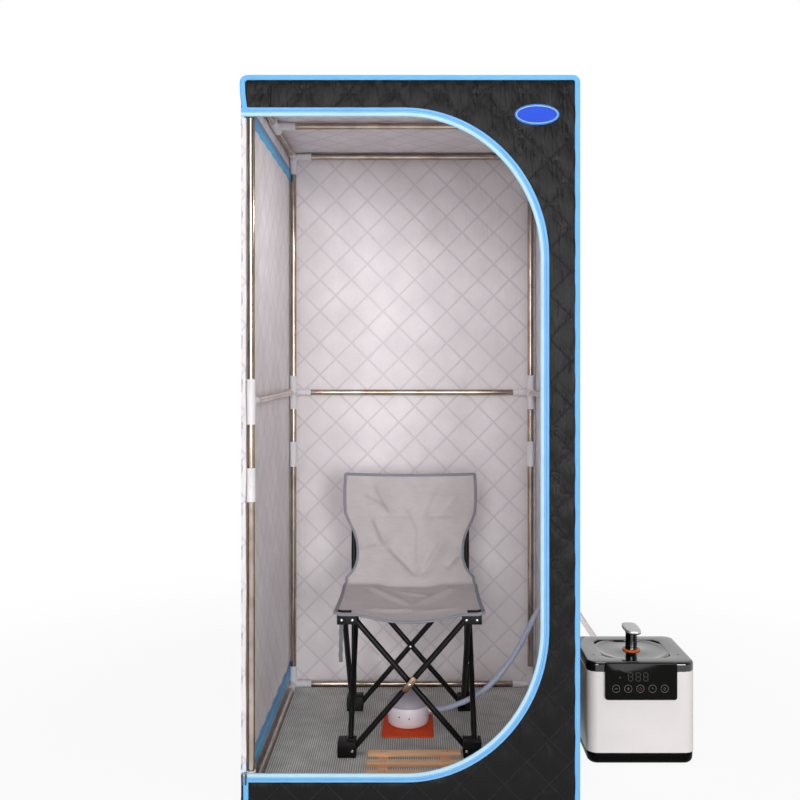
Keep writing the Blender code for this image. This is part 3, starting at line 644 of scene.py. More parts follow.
@dataclass
class Surface:
    """Vertices and faces gathered for one piece, with a material number for each face."""

    verts: list[tuple[float, float, float]] = field(default_factory=list)
    faces: list[tuple[int, ...]] = field(default_factory=list)
    kinds: list[int] = field(default_factory=list)

    def add(self, verts: Iterable[Point], faces: Iterable[Sequence[int]], kind: int = 0) -> None:
        """Adds faces on vertices of their own.

        Args:
            verts: The vertices.
            faces: Faces, numbered within these vertices.
            kind: Material number.
        """
        start = len(self.verts)
        self.verts += [(float(v[0]), float(v[1]), float(v[2])) for v in verts]
        fresh = [tuple(i + start for i in f) for f in faces]
        self.faces += fresh
        self.kinds += [kind] * len(fresh)

    def loft(
        self,
        rings: Sequence[Sequence[Point]],
        kind: int = 0,
        caps: tuple[bool, bool] = (True, True),
        closed: bool = False,
    ) -> None:
        """Joins rings of the same number of points.

        Args:
            rings: The rings, each closed.
            kind: Material number.
            caps: Whether the first and last ring get a face.
            closed: Whether the last ring joins the first one.
        """
        count, size = len(rings), len(rings[0])
        faces: list[Sequence[int]] = []
        for i in range(count if closed else count - 1):
            j = (i + 1) % count
            for k in range(size):
                m = (k + 1) % size
                faces.append((i * size + k, i * size + m, j * size + m, j * size + k))
        if not closed and caps[0]:
            faces.append(tuple(reversed(range(size))))
        if not closed and caps[1]:
            faces.append(tuple(range((count - 1) * size, count * size)))
        self.add([p for ring in rings for p in ring], faces, kind)

    def turned(
        self,
        centre: Point,
        profile: Sequence[tuple[float, float]],
        axis: Point = (0, 0, 1),
        kind: int = 0,
        sides: int = 48,
        closed: bool = False,
    ) -> None:
        """Turns a profile about an axis.

        Args:
            centre: A point of the axis, at height zero.
            profile: Points as (radius, height).
            axis: Way of the axis.
            kind: Material number.
            sides: Points on each ring.
            closed: Whether the profile's end joins its start.
        """
        turn = Vector((0, 0, 1)).rotation_difference(Vector(axis)).to_matrix()
        base = Vector(centre)
        rings = []
        for r, h in profile:
            rings.append([base + turn @ Vector((r * math.cos(t), r * math.sin(t), h)) for t in around(sides)])
        self.loft(rings, kind, closed=closed)

    def rod(self, start: Point, end: Point, radius: float, kind: int = 0, sides: int = 32) -> None:
        """A round bar with softened ends.

        Args:
            start: Middle of its first end.
            end: Middle of its last end.
            radius: Its radius.
            kind: Material number.
            sides: Points round it.
        """
        along = Vector(end) - Vector(start)
        length = along.length
        c = min(0.0012, radius / 3, length / 4)
        profile = [(radius - c, 0), (radius, c), (radius, length - c), (radius - c, length)]
        self.turned(start, profile, along, kind, sides)

    def pipe(self, points: Sequence[Point], radius: float, kind: int = 0, sides: int = 16) -> None:
        """A tube along points, with its rings turning as little as they can.

        Args:
            points: The points that it follows.
            radius: Its radius.
            kind: Material number.
            sides: Points round it.
        """
        places = [Vector(p) for p in points]
        last = len(places) - 1
        ways = [(places[min(i + 1, last)] - places[max(i - 1, 0)]).normalized() for i in range(last + 1)]
        side = ways[0].orthogonal().normalized()
        angles = around(sides)
        rings = []
        for place, way in zip(places, ways):
            side = (side - way * side.dot(way)).normalized()
            up = way.cross(side)
            rings.append([place + radius * (math.cos(t) * side + math.sin(t) * up) for t in angles])
        self.loft(rings, kind)

    def block(
        self, low: Point, high: Point, radius: float, kind: int = 0, turn: Matrix | None = None, steps: int = 2
    ) -> None:
        """A box with rounded edges.

        Args:
            low: Its lowest corner.
            high: Its highest corner.
            radius: Radius of its edges.
            kind: Material number.
            turn: A turn about its own centre.
            steps: Faces across each rounded edge.
        """
        low, high = Vector(low), Vector(high)
        centre = (low + high) / 2
        bm = bmesh.new()
        bmesh.ops.create_cube(bm, size=1, matrix=Matrix.Diagonal((*(high - low), 1)))
        bmesh.ops.bevel(
            bm, geom=list(bm.edges), offset=radius, segments=steps, profile=0.5, affect="EDGES", clamp_overlap=True
        )
        if turn is not None:
            bmesh.ops.transform(bm, matrix=turn, verts=bm.verts)
        bm.verts.index_update()
        self.add([v.co + centre for v in bm.verts], [[v.index for v in f.verts] for f in bm.faces], kind)
        bm.free()

    def mesh(self, name: str, sharp: float = 38.0) -> bpy.types.Mesh:
        """Makes the mesh, with its faces turned outwards.

        Args:
            name: Name of the mesh.
            sharp: Angle above which an edge is sharp, in degrees.

        Returns:
            The mesh.
        """
        made = bpy.data.meshes.new(name)
        made.from_pydata(self.verts, [], self.faces)
        made.polygons.foreach_set("material_index", self.kinds)
        faced_out(made)
        smoothed(made, sharp)
        return made


class NodeShape:
    """A geometry node tree with named inputs, run once on a holder mesh.

    Args:
        name: Name of the tree and of the mesh that it makes.
    """

    def __init__(self, name: str) -> None:
        """Starts the tree with its geometry in and out."""
        self.name = name
        self.tree = bpy.data.node_groups.new(name, "GeometryNodeTree")
        self.tree.interface.new_socket("Geometry", in_out="INPUT", socket_type="NodeSocketGeometry")
        self.tree.interface.new_socket("Geometry", in_out="OUTPUT", socket_type="NodeSocketGeometry")
        self.values: dict[str, object] = {}
        self.source = self.tree.nodes.new("NodeGroupInput")

    def given(self, label: str, kind: str, value: object) -> bpy.types.NodeSocket:
        """Adds a named input.

        Args:
            label: Its name.
            kind: Its socket type, without the common start.
            value: What it is set to.

        Returns:
            The socket that hands it to the tree.
        """
        made = self.tree.interface.new_socket(label, in_out="INPUT", socket_type=f"NodeSocket{kind}")
        self.values[made.identifier] = value
        return self.source.outputs[label]

    def run(self, start: bpy.types.Mesh, shape: bpy.types.NodeSocket, sharp: float) -> bpy.types.Mesh:
        """Runs the tree and keeps its result as a plain mesh.

        Args:
            start: The mesh that goes in.
            shape: The socket that goes out.
            sharp: Angle above which an edge is sharp, in degrees.

        Returns:
            The mesh, with its materials.
        """
        sink = self.tree.nodes.new("NodeGroupOutput")
        self.tree.links.new(shape, sink.inputs[0])
        holder = bpy.data.objects.new(f"{self.name}_holder", start)
        bpy.context.scene.collection.objects.link(holder)
        modifier = holder.modifiers.new("tree", "NODES")
        modifier.node_group = self.tree
        for identifier, value in self.values.items():
            modifier[identifier] = value
        bpy.context.view_layer.update()
        graph = bpy.context.evaluated_depsgraph_get()
        made = bpy.data.meshes.new_from_object(holder.evaluated_get(graph))
        made.name = self.name
        bpy.data.objects.remove(holder)
        smoothed(made, sharp)
        return made


def scattered(
    name: str, points: Sequence[Point], turns: Sequence[Point], grain: Grain, size: Point, finish: Finish
) -> bpy.types.Mesh:
    """Repeats a small shape on points, as rivets, screws, teeth or stitches.

    Args:
        name: Name of the mesh.
        points: Where the copies go.
        turns: Euler angles of each copy.
        grain: Which shape is repeated.
        size: The shape's size.
        finish: Its finish.

    Returns:
        One mesh of all the copies.
    """
    cloud = bpy.data.meshes.new(f"{name}_points")
    cloud.from_pydata([tuple(p) for p in points], [], [])
    turn = cloud.attributes.new("turn", "FLOAT_VECTOR", "POINT")
    turn.data.foreach_set("vector", np.asarray(turns, dtype=np.float32).ravel())
    shape = NodeShape(name)
    width = shape.given("Size", "Vector", tuple(size))
    paint = shape.given("Finish", "Material", finish.material())
    tree = shape.tree
    if grain is Grain.BLOCK:
        copy = add(tree, "GeometryNodeMeshCube", {}, "Mesh")
    else:
        copy = add(tree, "GeometryNodeMeshUVSphere", {"Segments": 12, "Rings": 6, "Radius": 0.5}, "Mesh")
    angles = add(tree, ATTRIBUTE, {"Name": "turn"}, "Attribute", data_type="FLOAT_VECTOR")
    links = {
        "Points": shape.source.outputs["Geometry"],
        "Instance": copy,
        "Rotation": add(tree, "FunctionNodeEulerToRotation", {0: angles}),
        "Scale": width,
    }
    real = add(tree, REALISE, {0: add(tree, "GeometryNodeInstanceOnPoints", links)})
    return shape.run(cloud, add(tree, PAINT, {"Geometry": real, "Material": paint}), 50)


def piped(
    name: str, paths: Sequence[Sequence[Point]], radius: float, finish: Finish, sides: int = 12
) -> bpy.types.Mesh:
    """Sweeps a round cord along paths, as a hose or a ring.

    Args:
        name: Name of the mesh.
        paths: Points of each path; one whose ends meet is closed.
        radius: The cord's radius.
        finish: Its finish.
        sides: Points round the cord.

    Returns:
        One mesh of all the cords.
    """
    verts: list[Point] = []
    edges: list[tuple[int, int]] = []
    for path in paths:
        closed = (Vector(path[0]) - Vector(path[-1])).length < 1e-6
        places = [tuple(p) for p in (path[:-1] if closed else path)]
        start, count = len(verts), len(places)
        verts += places
        edges += [(start + i, start + (i + 1) % count) for i in range(count if closed else count - 1)]
    wire = bpy.data.meshes.new(f"{name}_wire")
    wire.from_pydata(verts, edges, [])
    shape = NodeShape(name)
    width = shape.given("Radius", "Float", radius)
    paint = shape.given("Finish", "Material", finish.material())
    tree = shape.tree
    path = add(tree, "GeometryNodeMeshToCurve", {"Mesh": shape.source.outputs["Geometry"]})
    outline = add(tree, "GeometryNodeCurvePrimitiveCircle", {"Resolution": sides, "Radius": width})
    cord = add(tree, "GeometryNodeCurveToMesh", {"Curve": path, "Profile Curve": outline, "Fill Caps": True})
    real = add(tree, REALISE, {0: cord})
    return shape.run(wire, add(tree, PAINT, {"Geometry": real, "Material": paint}), 60)


@dataclass
class Kit:
    """The ways in which every builder adds a piece."""

    count: int = 0
    weld: float = 1e-5
    level_deg: float = 2
    edge_deg: float = 50

    def piece(
        self,
        name: str,
        shape: Surface | bpy.types.Mesh,
        finishes: Sequence[Finish],
        body: str,
        slot: Slot,
        replaces: Sequence[str] = (),
    ) -> bpy.types.Object:
        """Adds a finished piece.

        Args:
            name: Name of the piece.
            shape: Its surface or mesh, in place.
            finishes: Its finishes, in the order of the surface's numbers; none if the mesh has its own.
            body: The body that it moves with.
            slot: The record's material slot; not used.
            replaces: Solids that it stands for.

        Returns:
            The object.
        """
        mesh = shape.mesh(name) if isinstance(shape, Surface) else shape
        obj = bpy.data.objects.new(name, mesh)
        bpy.context.scene.collection.objects.link(obj)
        for finish in finishes:
            mesh.materials.append(finish.material())
        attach(obj, body)
        if replaces:
            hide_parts(*replaces)
        self.count += 1
        LOG.info("piece %s on %s", name, body)
        return obj

    def refined(self, node: str, width: float, finish: Finish, body: str, slot: Slot) -> bpy.types.Object:
        """Stands for a solid with the same shape and softened edges.

        Args:
            node: The solid.
            width: Width of the softened edges.
            finish: The piece's finish.
            body: The body that it moves with.
            slot: The record's material slot.

        Returns:
            The object.
        """
        bm = bmesh.new()
        bm.from_mesh(bpy.data.objects[node].data)
        bmesh.ops.remove_doubles(bm, verts=bm.verts, dist=self.weld)
        bmesh.ops.dissolve_limit(bm, angle_limit=math.radians(self.level_deg), verts=bm.verts, edges=bm.edges)
        bm.normal_update()
        edges = [e for e in bm.edges if e.is_manifold and e.calc_face_angle(0) > math.radians(self.edge_deg)]
        bmesh.ops.bevel(bm, geom=edges, offset=width, segments=2, profile=0.5, affect="EDGES", clamp_overlap=True)
        bm.verts.index_update()
        shape = Surface()
        shape.add([v.co for v in bm.verts], [[v.index for v in f.verts] for f in bm.faces])
        bm.free()
        return self.piece(f"{node}_look", shape, [finish], body, slot, [node])


def normals_of(path: Sequence[tuple[float, float]]) -> list[tuple[float, float]]:
    """Unit normals of a path in a plane, to the left of its way.

    Args:
        path: The path's points.

    Returns:
        A normal for each point.
    """
    made = []
    for i in range(len(path)):
        a, b = path[max(i - 1, 0)], path[min(i + 1, len(path) - 1)]
        dx, dz = b[0] - a[0], b[1] - a[1]
        length = math.hypot(dx, dz)
        made.append((-dz / length, dx / length))
    return made


def evenly(path: Sequence[Point], step: float) -> tuple[np.ndarray, np.ndarray]:
    """Points and unit ways along a path, a step apart.

    Args:
        path: The path's points.
        step: Distance from point to point.

    Returns:
        The points and the ways.
    """
    points = np.asarray(path, dtype=float)
    runs = np.concatenate([[0], np.cumsum(np.linalg.norm(np.diff(points, axis=0), axis=1))])
    at = np.arange(step / 2, runs[-1], step)

    def sampled(where: np.ndarray) -> np.ndarray:
        """The path's points at distances along it."""
        return np.stack([np.interp(where, runs, points[:, k]) for k in range(points.shape[1])], axis=1)

    ways = sampled(at + step / 4) - sampled(at - step / 4)
    return sampled(at), ways / np.linalg.norm(ways, axis=1)[:, None]


def corner_arc(x: float, z: float, radius: float, start: float, steps: int = 8) -> list[tuple[float, float]]:
    """A quarter circle in a plane.

    Args:
        x: First coordinate of its centre.
        z: Second coordinate of its centre.
        radius: Its radius.
        start: Angle at which it starts, in degrees; it goes against the clock.
        steps: Number of its chords.

    Returns:
        Its points.
    """
    angles = [math.radians(start + 90 * k / steps) for k in range(steps + 1)]
    return [(x + radius * math.cos(t), z + radius * math.sin(t)) for t in angles]


def rounded_box(
    centre: tuple[float, float], half: tuple[float, float], radius: float, steps: int
) -> list[tuple[float, float]]:
    """A rounded rectangle in a plane, against the clock from its right side.

    Args:
        centre: Its middle.
        half: Half its width and height.
        radius: Radius of its corners.
        steps: Number of each corner's chords.

    Returns:
        Its points.
    """
    made = []
    for i, (sx, sy) in enumerate(((1, 1), (-1, 1), (-1, -1), (1, -1))):
        x, y = centre[0] + sx * (half[0] - radius), centre[1] + sy * (half[1] - radius)
        made += corner_arc(x, y, radius, 90 * i, steps)
    return made


# Polyester shell: dull black that catches light along its puckers, with a painted highlight along its seams.
SHELL_CLOTH = {
    "colour": "#0f0f11",
    "seam": "#232327",
    "roughness": 0.38,
    "crinkle": 1.0,
    "seam_mm": 2.2,
    "specular": 0.17,
}
# Polyester lining: pale lilac grey, with painted shade in soft mauve lines along its seams.
LINING_CLOTH = {"colour": "#f1ebed", "seam": "#dfd8e0", "roughness": 0.62, "crinkle": 0.8, "seam_mm": 7.0}
# Edge binding: folded sky-blue tape, a little satin.
BINDING = WovenTape("polyester_tape_sky_blue", "#72c0fc")
# Zip tape: the same dye, a shade paler.
ZIP_TAPE = WovenTape("polyester_zip_tape_blue", "#82c6fa")
# Zip cord: the pale piping along the opening.
ZIP_CORD = WovenTape("polyester_zip_cord_pale", "#c2eaff", 2.0)
# Zip coil: nylon, painted darker as shade where it lies in the tape's groove.
ZIP_COIL = Moulded("nylon_zip_coil_blue", "#579de2", 0.4, grain_mm=0.5)
# Thread: a pale blue twist that catches the light on each stitch.
THREAD = WovenTape("polyester_thread_blue", "#8cc6f7", 1.0)
# Wall tape: blue painted brighter to offset the shade inside the tent, with a grey selvedge.
WALL_TAPE = WovenTape("polyester_wall_tape_blue", "#70c8ff")
WALL_SELVEDGE = WovenTape("polyester_wall_tape_grey", "#86a9cc")
# Zip slider: plated zinc, dark and smooth.
SLIDER = Moulded("plated_zinc_slider", "#5b5a5c", 0.3, 1.0, 0.6, 0.04)
# Badge: woven patch, royal blue with a lighter rim and a pale ring.
BADGE_FIELD = WovenTape("woven_badge_royal_blue", "#2152e0", 1.6)
BADGE_RIM = WovenTape("woven_badge_rim_blue", "#3d86ea", 1.6)
BADGE_RING = WovenTape("woven_badge_ring_pale", "#b9dfae", 1.6)
# Port collar: soft black rubber.
COLLAR = Moulded("rubber_collar_black", "#242427", 0.6, grain_mm=1.2, relief=0.15)
# Mat: embossed foam, grey with a worn, dusty grain; the sheet between its ribs is painted darker as shade.
MAT_GROOVE_SHADE = Moulded("embossed_foam_mat_painted_shade", "#aaa8a6", 0.8, grain_mm=1.6, relief=0.25, drift=0.14)
MAT_FOAM = Moulded("embossed_foam_mat_grey", "#e6e6e2", 0.75, grain_mm=1.6, relief=0.25, drift=0.14)


@dataclass
class Panel:
    """One quilted panel.

    Attributes:
        node: The solid that it stands for.
        plane: Coordinates along the panel.
        spans: Range of each of those coordinates.
        faces: Coordinates of its first and second face, across the panel.
        crests: How far the quilting stands out of each face.
        pitch: Distance from seam to seam.
        phase: Where the rising and falling seams lie.
        keep: Tells which cells belong to the panel.
        margin: Width of the flat border of the first and second face.
        body: The body that it moves with.
        lined_first: Whether the first face is the lining.
        name: Name of the piece, where a solid is sewn from several.
        rim: A tape across the panel, beside which the quilting dies away too.
    """

    node: str
    plane: Plane
    spans: tuple[tuple[float, float], tuple[float, float]]
    faces: tuple[float, float]
    crests: tuple[float, float] = (0.0024, 0.0020)
    pitch: float = 0.108
    phase: tuple[float, float] = (0.03, 0.05)
    keep: Callable[[np.ndarray, np.ndarray], np.ndarray] | None = None
    margin: tuple[float, float] = (0.035, 0.075)
    body: str = CABIN
    lined_first: bool = False
    name: str = ""
    rim: Sequence[tuple[float, float]] = ()


@dataclass
class Cover:
    """The quilted tent: panels, binding, zip, tapes, badge, port and mat."""

    kit: Kit
    half: float = 0.42
    height: float = 1.80
    panel: float = 0.0045
    gap: float = 0.0003
    door_top: float = 1.701
    door_sill: float = 0.0705
    door_right: float = 0.323
    top_arc: tuple[float, float] = (0.34, 0.355)
    sill_arc: tuple[float, float] = (0.335, 0.36)
    hinge_clear: float = 0.002
    door_clear: float = 0.0015
    valley: float = 0.0014
    fullness: float = 0.5
    cells: int = 14
    corner_r: float = 0.015
    binding: float = 0.0100
    jamb_x: float = 0.4119
    header_x: float = 0.4203
    proud: float = 0.0034
    cord: float = 0.0085
    tape: float = 0.0208
    stitch_pitch: float = 0.0062
    port: tuple[float, float] = (0.1126, 0.3664)
    port_r: float = 0.0114
    mat_x: float = 0.3880
    mat_y: float = 0.3928
    mat_top: float = 0.005
    mat_pitch: float = 0.0062
    mat_rib: float = 0.0024
    mat_share: float = 0.50
    cloth: float = 0.0003
    front_under: float = 0.012
    flap_under: float = 0.010
    collar_under: float = 0.007
    strip_levels: tuple[float, float] = (0.17, 1.60)
    coil_pitch: float = 0.0026
    slider_x: tuple[float, float] = (-0.4165, -0.4075)
    wall_tape_y: tuple[float, float] = (-0.4135, 0.4140)
    wall_tape_z: tuple[tuple[float, float], ...] = ((0.038, 0.085), (1.703, 1.740))
    badge_at: tuple[float, float] = (0.3134, 1.7037)
    badge_half: tuple[float, float] = (0.0555, 0.026)

    @property
    def wall_top(self) -> float:
        """Top of the walls."""
        return self.height - self.panel - self.gap

    @property
    def hinge_x(self) -> float:
        """X of the flap's hinge."""
        return -self.half + self.panel

    @property
    def left_face(self) -> float:
        """X of the left wall's outside."""
        return -self.half + self.panel + self.gap

    def build(self) -> None:
        """Builds every piece of the cover."""
        for panel in self.panels():
            self.quilt(panel)
        self.bind()
        self.zipper()
        self.wall_tapes()
        self.door_trim()
        self.badge()
        self.collar()
        self.mat()

    def opening(self, inset: float) -> tuple[float, ...]:
        """The opening's right, top and sill and its corners' half axes, drawn in by an inset."""
        axes = (r - inset for r in (*self.top_arc, *self.sill_arc))
        return (self.door_right - inset, self.door_top - inset, self.door_sill + inset, *axes)

    def doorway(self, inset: float, left: float, steps: int = 30) -> list[tuple[float, float]]:
        """The opening's edge from its top left round to its bottom left.

        Args:
            inset: Distance towards the opening's middle.
            left: X where the edge starts and ends.
            steps: Points on each round corner.

        Returns:
            Points as (x, z).
        """
        right, top, sill, a, b, c, d = self.opening(inset)
        made = [(left + (right - a - left) * i / 14, top) for i in range(14)]
        for i in range(steps + 1):
            t = math.pi / 2 * (1 - i / steps)
            made.append((right - a + a * math.cos(t), top - b + b * math.sin(t)))
        made += [(right, top - b + (sill + d - top + b) * i / 20) for i in range(1, 20)]
        for i in range(steps + 1):
            t = -math.pi / 2 * i / steps
            made.append((right - c + c * math.cos(t), sill + d + d * math.sin(t)))
        made += [(right - c + (left - right + c) * i / 14, sill) for i in range(1, 15)]
        return made

    def in_doorway(self, x: np.ndarray, z: np.ndarray, inset: float) -> np.ndarray:
        """Tells which points lie in the opening drawn in by an inset.

        Args:
            x: Coordinates across.
            z: Heights.
            inset: Distance towards the opening's middle.

        Returns:
            True for each point inside.
        """
        right, top, sill, a, b, c, d = self.opening(inset)
        inside = (x < right) & (z < top) & (z > sill)
        high = (x > right - a) & (z > top - b)
        low = (x > right - c) & (z < sill + d)
        out_high = ((x - right + a) / a) ** 2 + ((z - top + b) / b) ** 2 > 1
        out_low = ((x - right + c) / c) ** 2 + ((z - sill - d) / d) ** 2 > 1
        return inside & ~(high & out_high) & ~(low & out_low)

    def panels(self) -> list[Panel]:
        """The cover's panels, with what is cut out of each; the front is sewn from three strips.

        Returns:
            The panels.
        """
        half, top, trim = self.half, self.wall_top, self.corner_r - 0.003
        side = half - self.panel - self.gap
        left = self.left_face

        def cornered(x: np.ndarray, z: np.ndarray) -> np.ndarray:
            """Leaves out the cells at the rounded top corners."""
            dx, dz = np.abs(x) - (half - self.corner_r), z - (self.height - self.corner_r)
            return ~((dx > 0) & (dz > 0) & (np.hypot(dx, dz) > self.corner_r - 0.004))

        def strip(low: float, high: float) -> Callable[[np.ndarray, np.ndarray], np.ndarray]:
            """Keeps the front's cells between two heights, outside the opening and the rounded corners."""
            return lambda x, z: ~self.in_doorway(x, z, -self.front_under) & cornered(x, z) & (z > low) & (z <= high)

        def flap(y: np.ndarray, z: np.ndarray) -> np.ndarray:
            """Keeps the flap inside its tape."""
            return self.in_doorway(y + half + self.hinge_x, z, self.flap_under)

        def ported(y: np.ndarray, z: np.ndarray) -> np.ndarray:
            """Leaves out the hose port."""
            return np.hypot(y - self.port[0], z - self.port[1]) > self.port_r + self.collar_under

        wide, deep, tall, low_wall = (-half, half), (-side, side), (0.0, top), (0.0, top - trim)
        flap_y = (-half + self.hinge_clear, -half + self.door_right - self.hinge_x)
        flap_z = (self.door_sill, self.door_top)
        roof_x = (-half + trim, half - trim)
        front_faces, back_faces = (-half, -half + self.panel), (half, half - self.panel)
        foot, head = self.strip_levels
        strips = {"front_sill": (-1.0, foot), "front_side": (foot, head), "front_header": (head, 3.0)}
        fronts = [
            Panel(
                "front_panel", Plane.FRONT, (wide, tall), front_faces, name=name,
                pitch=0.1105, phase=(0.0572, 0.0783), keep=strip(*levels), margin=(0.014, 0.075),
                rim=self.doorway(-0.0165, -half),
            )
            for name, levels in strips.items()
        ]
        return [
            *fronts,
            Panel(
                "back_wall", Plane.FRONT, (wide, tall), back_faces,
                pitch=0.1068, phase=(0.0995, 0.0266), keep=cornered,
            ),
            Panel(
                "left_wall", Plane.SIDE, (deep, low_wall), (left, left + self.panel), (0.0, 0.0022),
                margin=(0.035, 0.11),
            ),
            Panel("right_wall", Plane.SIDE, (deep, low_wall), back_faces, keep=ported),
            Panel("roof_panel", Plane.LEVEL, (roof_x, wide), (self.height, self.height - self.panel)),
            Panel(
                "door_flap", Plane.SIDE, (flap_y, flap_z), front_faces, (0.0024, 0.0),
                keep=flap, body="door", lined_first=True,
                rim=[(x - half - self.hinge_x, z) for x, z in self.doorway(0.0155, self.hinge_x)],
            ),
        ]

    @staticmethod
    def ruled(low: float, high: float, start: float, step: float) -> np.ndarray:
        """Coordinates that hit the seams, with the panel's own ends.

        Args:
            low: First end.
            high: Last end.
            start: A coordinate of the seams' lattice.
            step: Distance from one to the next.

        Returns:
            The coordinates.
        """
        first = math.ceil((low + 0.3 * step - start) / step)
        last = math.floor((high - 0.3 * step - start) / step)
        return np.concatenate([[low], start + step * np.arange(first, last + 1), [high]])

    def quilt(self, p: Panel) -> None:
        """Builds one panel: two faces and the edge between them, raised between the seams by a node tree.

        Args:
            p: The panel.
        """
        ax, az = p.plane.value
        across = 3 - ax - az
        (a0, a1), (b0, b1) = p.spans
        step = p.pitch / self.cells
        lines_a = self.ruled(a0, a1, (p.phase[0] + p.phase[1]) / 2, step)
        lines_b = self.ruled(b0, b1, (p.phase[0] - p.phase[1]) / 2, step)
        a, b = np.meshgrid(lines_a, lines_b, indexing="ij")
        na, nb = a.shape[0] - 1, a.shape[1] - 1
        middle_a, middle_b = (a[:-1, :-1] + a[1:, 1:]) / 2, (b[:-1, :-1] + b[1:, 1:]) / 2
        kept = p.keep(middle_a, middle_b) if p.keep else np.ones_like(middle_a, dtype=bool)
        used = np.zeros(a.shape, dtype=bool)
        for da in (0, 1):
            for db in (0, 1):
                used[da : da + na, db : db + nb] |= kept
        number = -np.ones(a.shape, dtype=int)
        count = int(used.sum())
        number[used] = np.arange(count)
        edge = np.minimum(np.minimum(a - a0, a1 - a), np.minimum(b - b0, b1 - b))[used]
        if p.rim:
            path = evenly(p.rim, 0.005)[0]
            beside = [np.hypot(*(path - spot).T).min() for spot in np.stack([a[used], b[used]], axis=1)]
            edge = np.minimum(edge, beside)
        verts, outward, seam = (np.zeros((2 * count, 3)) for _ in range(3))
        toward = math.copysign(1.0, p.faces[0] - p.faces[1])
        for k in (0, 1):
            part = slice(k * count, (k + 1) * count)
            verts[part, ax], verts[part, az], verts[part, across] = a[used], b[used], p.faces[k]
            outward[part, across] = toward if k == 0 else -toward
            seam[part, 0] = (a + b - p.phase[0])[used] / p.pitch
            seam[part, 1] = (a - b - p.phase[1])[used] / p.pitch
            ease = np.clip(edge / p.margin[k], 0, 1)
            seam[part, 2] = (p.crests[k] + self.valley) * ease * ease * (3 - 2 * ease)
        i, j = np.nonzero(kept)
        quads = np.stack([number[i, j], number[i + 1, j], number[i + 1, j + 1], number[i, j + 1]], axis=1)
        faces = [tuple(int(v) for v in q) for q in quads]
        faces += [tuple(int(v) for v in q[::-1]) for q in quads + count]
        lined = [p.lined_first] * len(quads) + [not p.lined_first] * len(quads)
        padded = np.pad(kept, 1)
        for di, dj, ends in ((-1, 0, (0, 3)), (1, 0, (1, 2)), (0, -1, (0, 1)), (0, 1, (3, 2))):
            bare = kept & ~padded[1 + di : na + 1 + di, 1 + dj : nb + 1 + dj]
            for q in quads[bare[i, j]]:
                first, second = int(q[ends[0]]), int(q[ends[1]])
                faces.append((first, second, second + count, first + count))
                lined.append(False)
        name = f"{p.name or p.node}_quilt"
        flat = bpy.data.meshes.new(f"{name}_flat")
        flat.from_pydata([tuple(v) for v in verts], [], faces)
        for label, values in (("outward", outward), ("seam", seam)):
            kept_values = flat.attributes.new(label, "FLOAT_VECTOR", "POINT")
            kept_values.data.foreach_set("vector", values.astype(np.float32).ravel())
        flat.attributes.new("lined", "BOOLEAN", "FACE").data.foreach_set("value", np.array(lined, dtype=bool))
        faced_out(flat)
        look = {"plane": p.plane, "pitch": p.pitch, "phase": p.phase}
        shell = QuiltedCloth(f"quilted_polyester_{p.node}_shell", **SHELL_CLOTH, **look)
        lining = QuiltedCloth(f"quilted_polyester_{p.node}_lining", **LINING_CLOTH, **look)
        mesh = self.raised(name, flat, shell, lining)
        obj = self.kit.piece(name, mesh, [], p.body, Slot.COVER, [p.node])

    def raised(self, name: str, flat: bpy.types.Mesh, shell: Finish, lining: Finish) -> bpy.types.Mesh:
        """Raises a flat panel between its seams.

        Args:
            name: Name of the mesh.
            flat: The flat panel, with its seams as attributes.
            shell: Finish of its outside.
            lining: Finish of its lining.

        Returns:
            The quilted mesh.
        """
        shape = NodeShape(name)
        tree = shape.tree
        valley = shape.given("Valley", "Float", self.valley)
        fullness = shape.given("Fullness", "Float", self.fullness)
        outside = shape.given("Shell", "Material", shell.material())
        inside = shape.given("Lining", "Material", lining.material())
        seam = add(tree, ATTRIBUTE, {"Name": "seam"}, "Attribute", data_type="FLOAT_VECTOR")
        waves = []
        for k in (0, 1):
            angle = add(tree, MATH, {0: add(tree, SPLIT, {0: seam}, k), 1: math.pi}, operation="MULTIPLY")
            waves.append(add(tree, MATH, {0: add(tree, MATH, {0: angle}, operation="SINE")}, operation="ABSOLUTE"))
        swell = add(tree, MATH, {0: waves[0], 1: waves[1]}, operation="MULTIPLY")
        swell = add(tree, MATH, {0: swell, 1: fullness}, operation="POWER")
        swell = add(tree, MATH, {0: swell, 1: add(tree, SPLIT, {0: seam}, 2)}, operation="MULTIPLY")
        swell = add(tree, MATH, {0: swell, 1: valley}, operation="SUBTRACT")
        way = add(tree, ATTRIBUTE, {"Name": "outward"}, "Attribute", data_type="FLOAT_VECTOR")
        offset = add(tree, "ShaderNodeVectorMath", {0: way, "Scale": swell}, operation="SCALE")
        moved = add(tree, "GeometryNodeSetPosition", {"Geometry": shape.source.outputs["Geometry"], "Offset": offset})
        lined = add(tree, ATTRIBUTE, {"Name": "lined"}, "Attribute", data_type="BOOLEAN")
        real = add(tree, REALISE, {0: moved})
        real = add(tree, PAINT, {"Geometry": real, "Material": outside})
        made = shape.run(flat, add(tree, PAINT, {"Geometry": real, "Material": inside, "Selection": lined}), 60)
        for label in ("seam", "outward", "lined"):
            made.attributes.remove(made.attributes[label])
        return made

    @staticmethod
    def sweep(
        shape: Surface,
        path: Sequence[tuple[float, float]],
        outline: Sequence[tuple[float, float]],
        place: Callable[[float, float, float], Point],
        kind: int = 0,
        closed: bool = False,
    ) -> None:
        """Sweeps a closed outline along a path in a plane.

        Args:
            shape: The surface that it is added to.
            path: The path's points.
            outline: Points as (outward, forward).
            place: Gives the point for two coordinates along the plane and one out of it.
            kind: Material number.
            closed: Whether the path closes.
        """
        ways = normals_of([path[-1], *path, path[0]])[1:-1] if closed else normals_of(path)
        rings = [[place(u + nu * o, z + nz * o, f) for o, f in outline] for (u, z), (nu, nz) in zip(path, ways)]
        shape.loft(rings, kind, closed=closed)

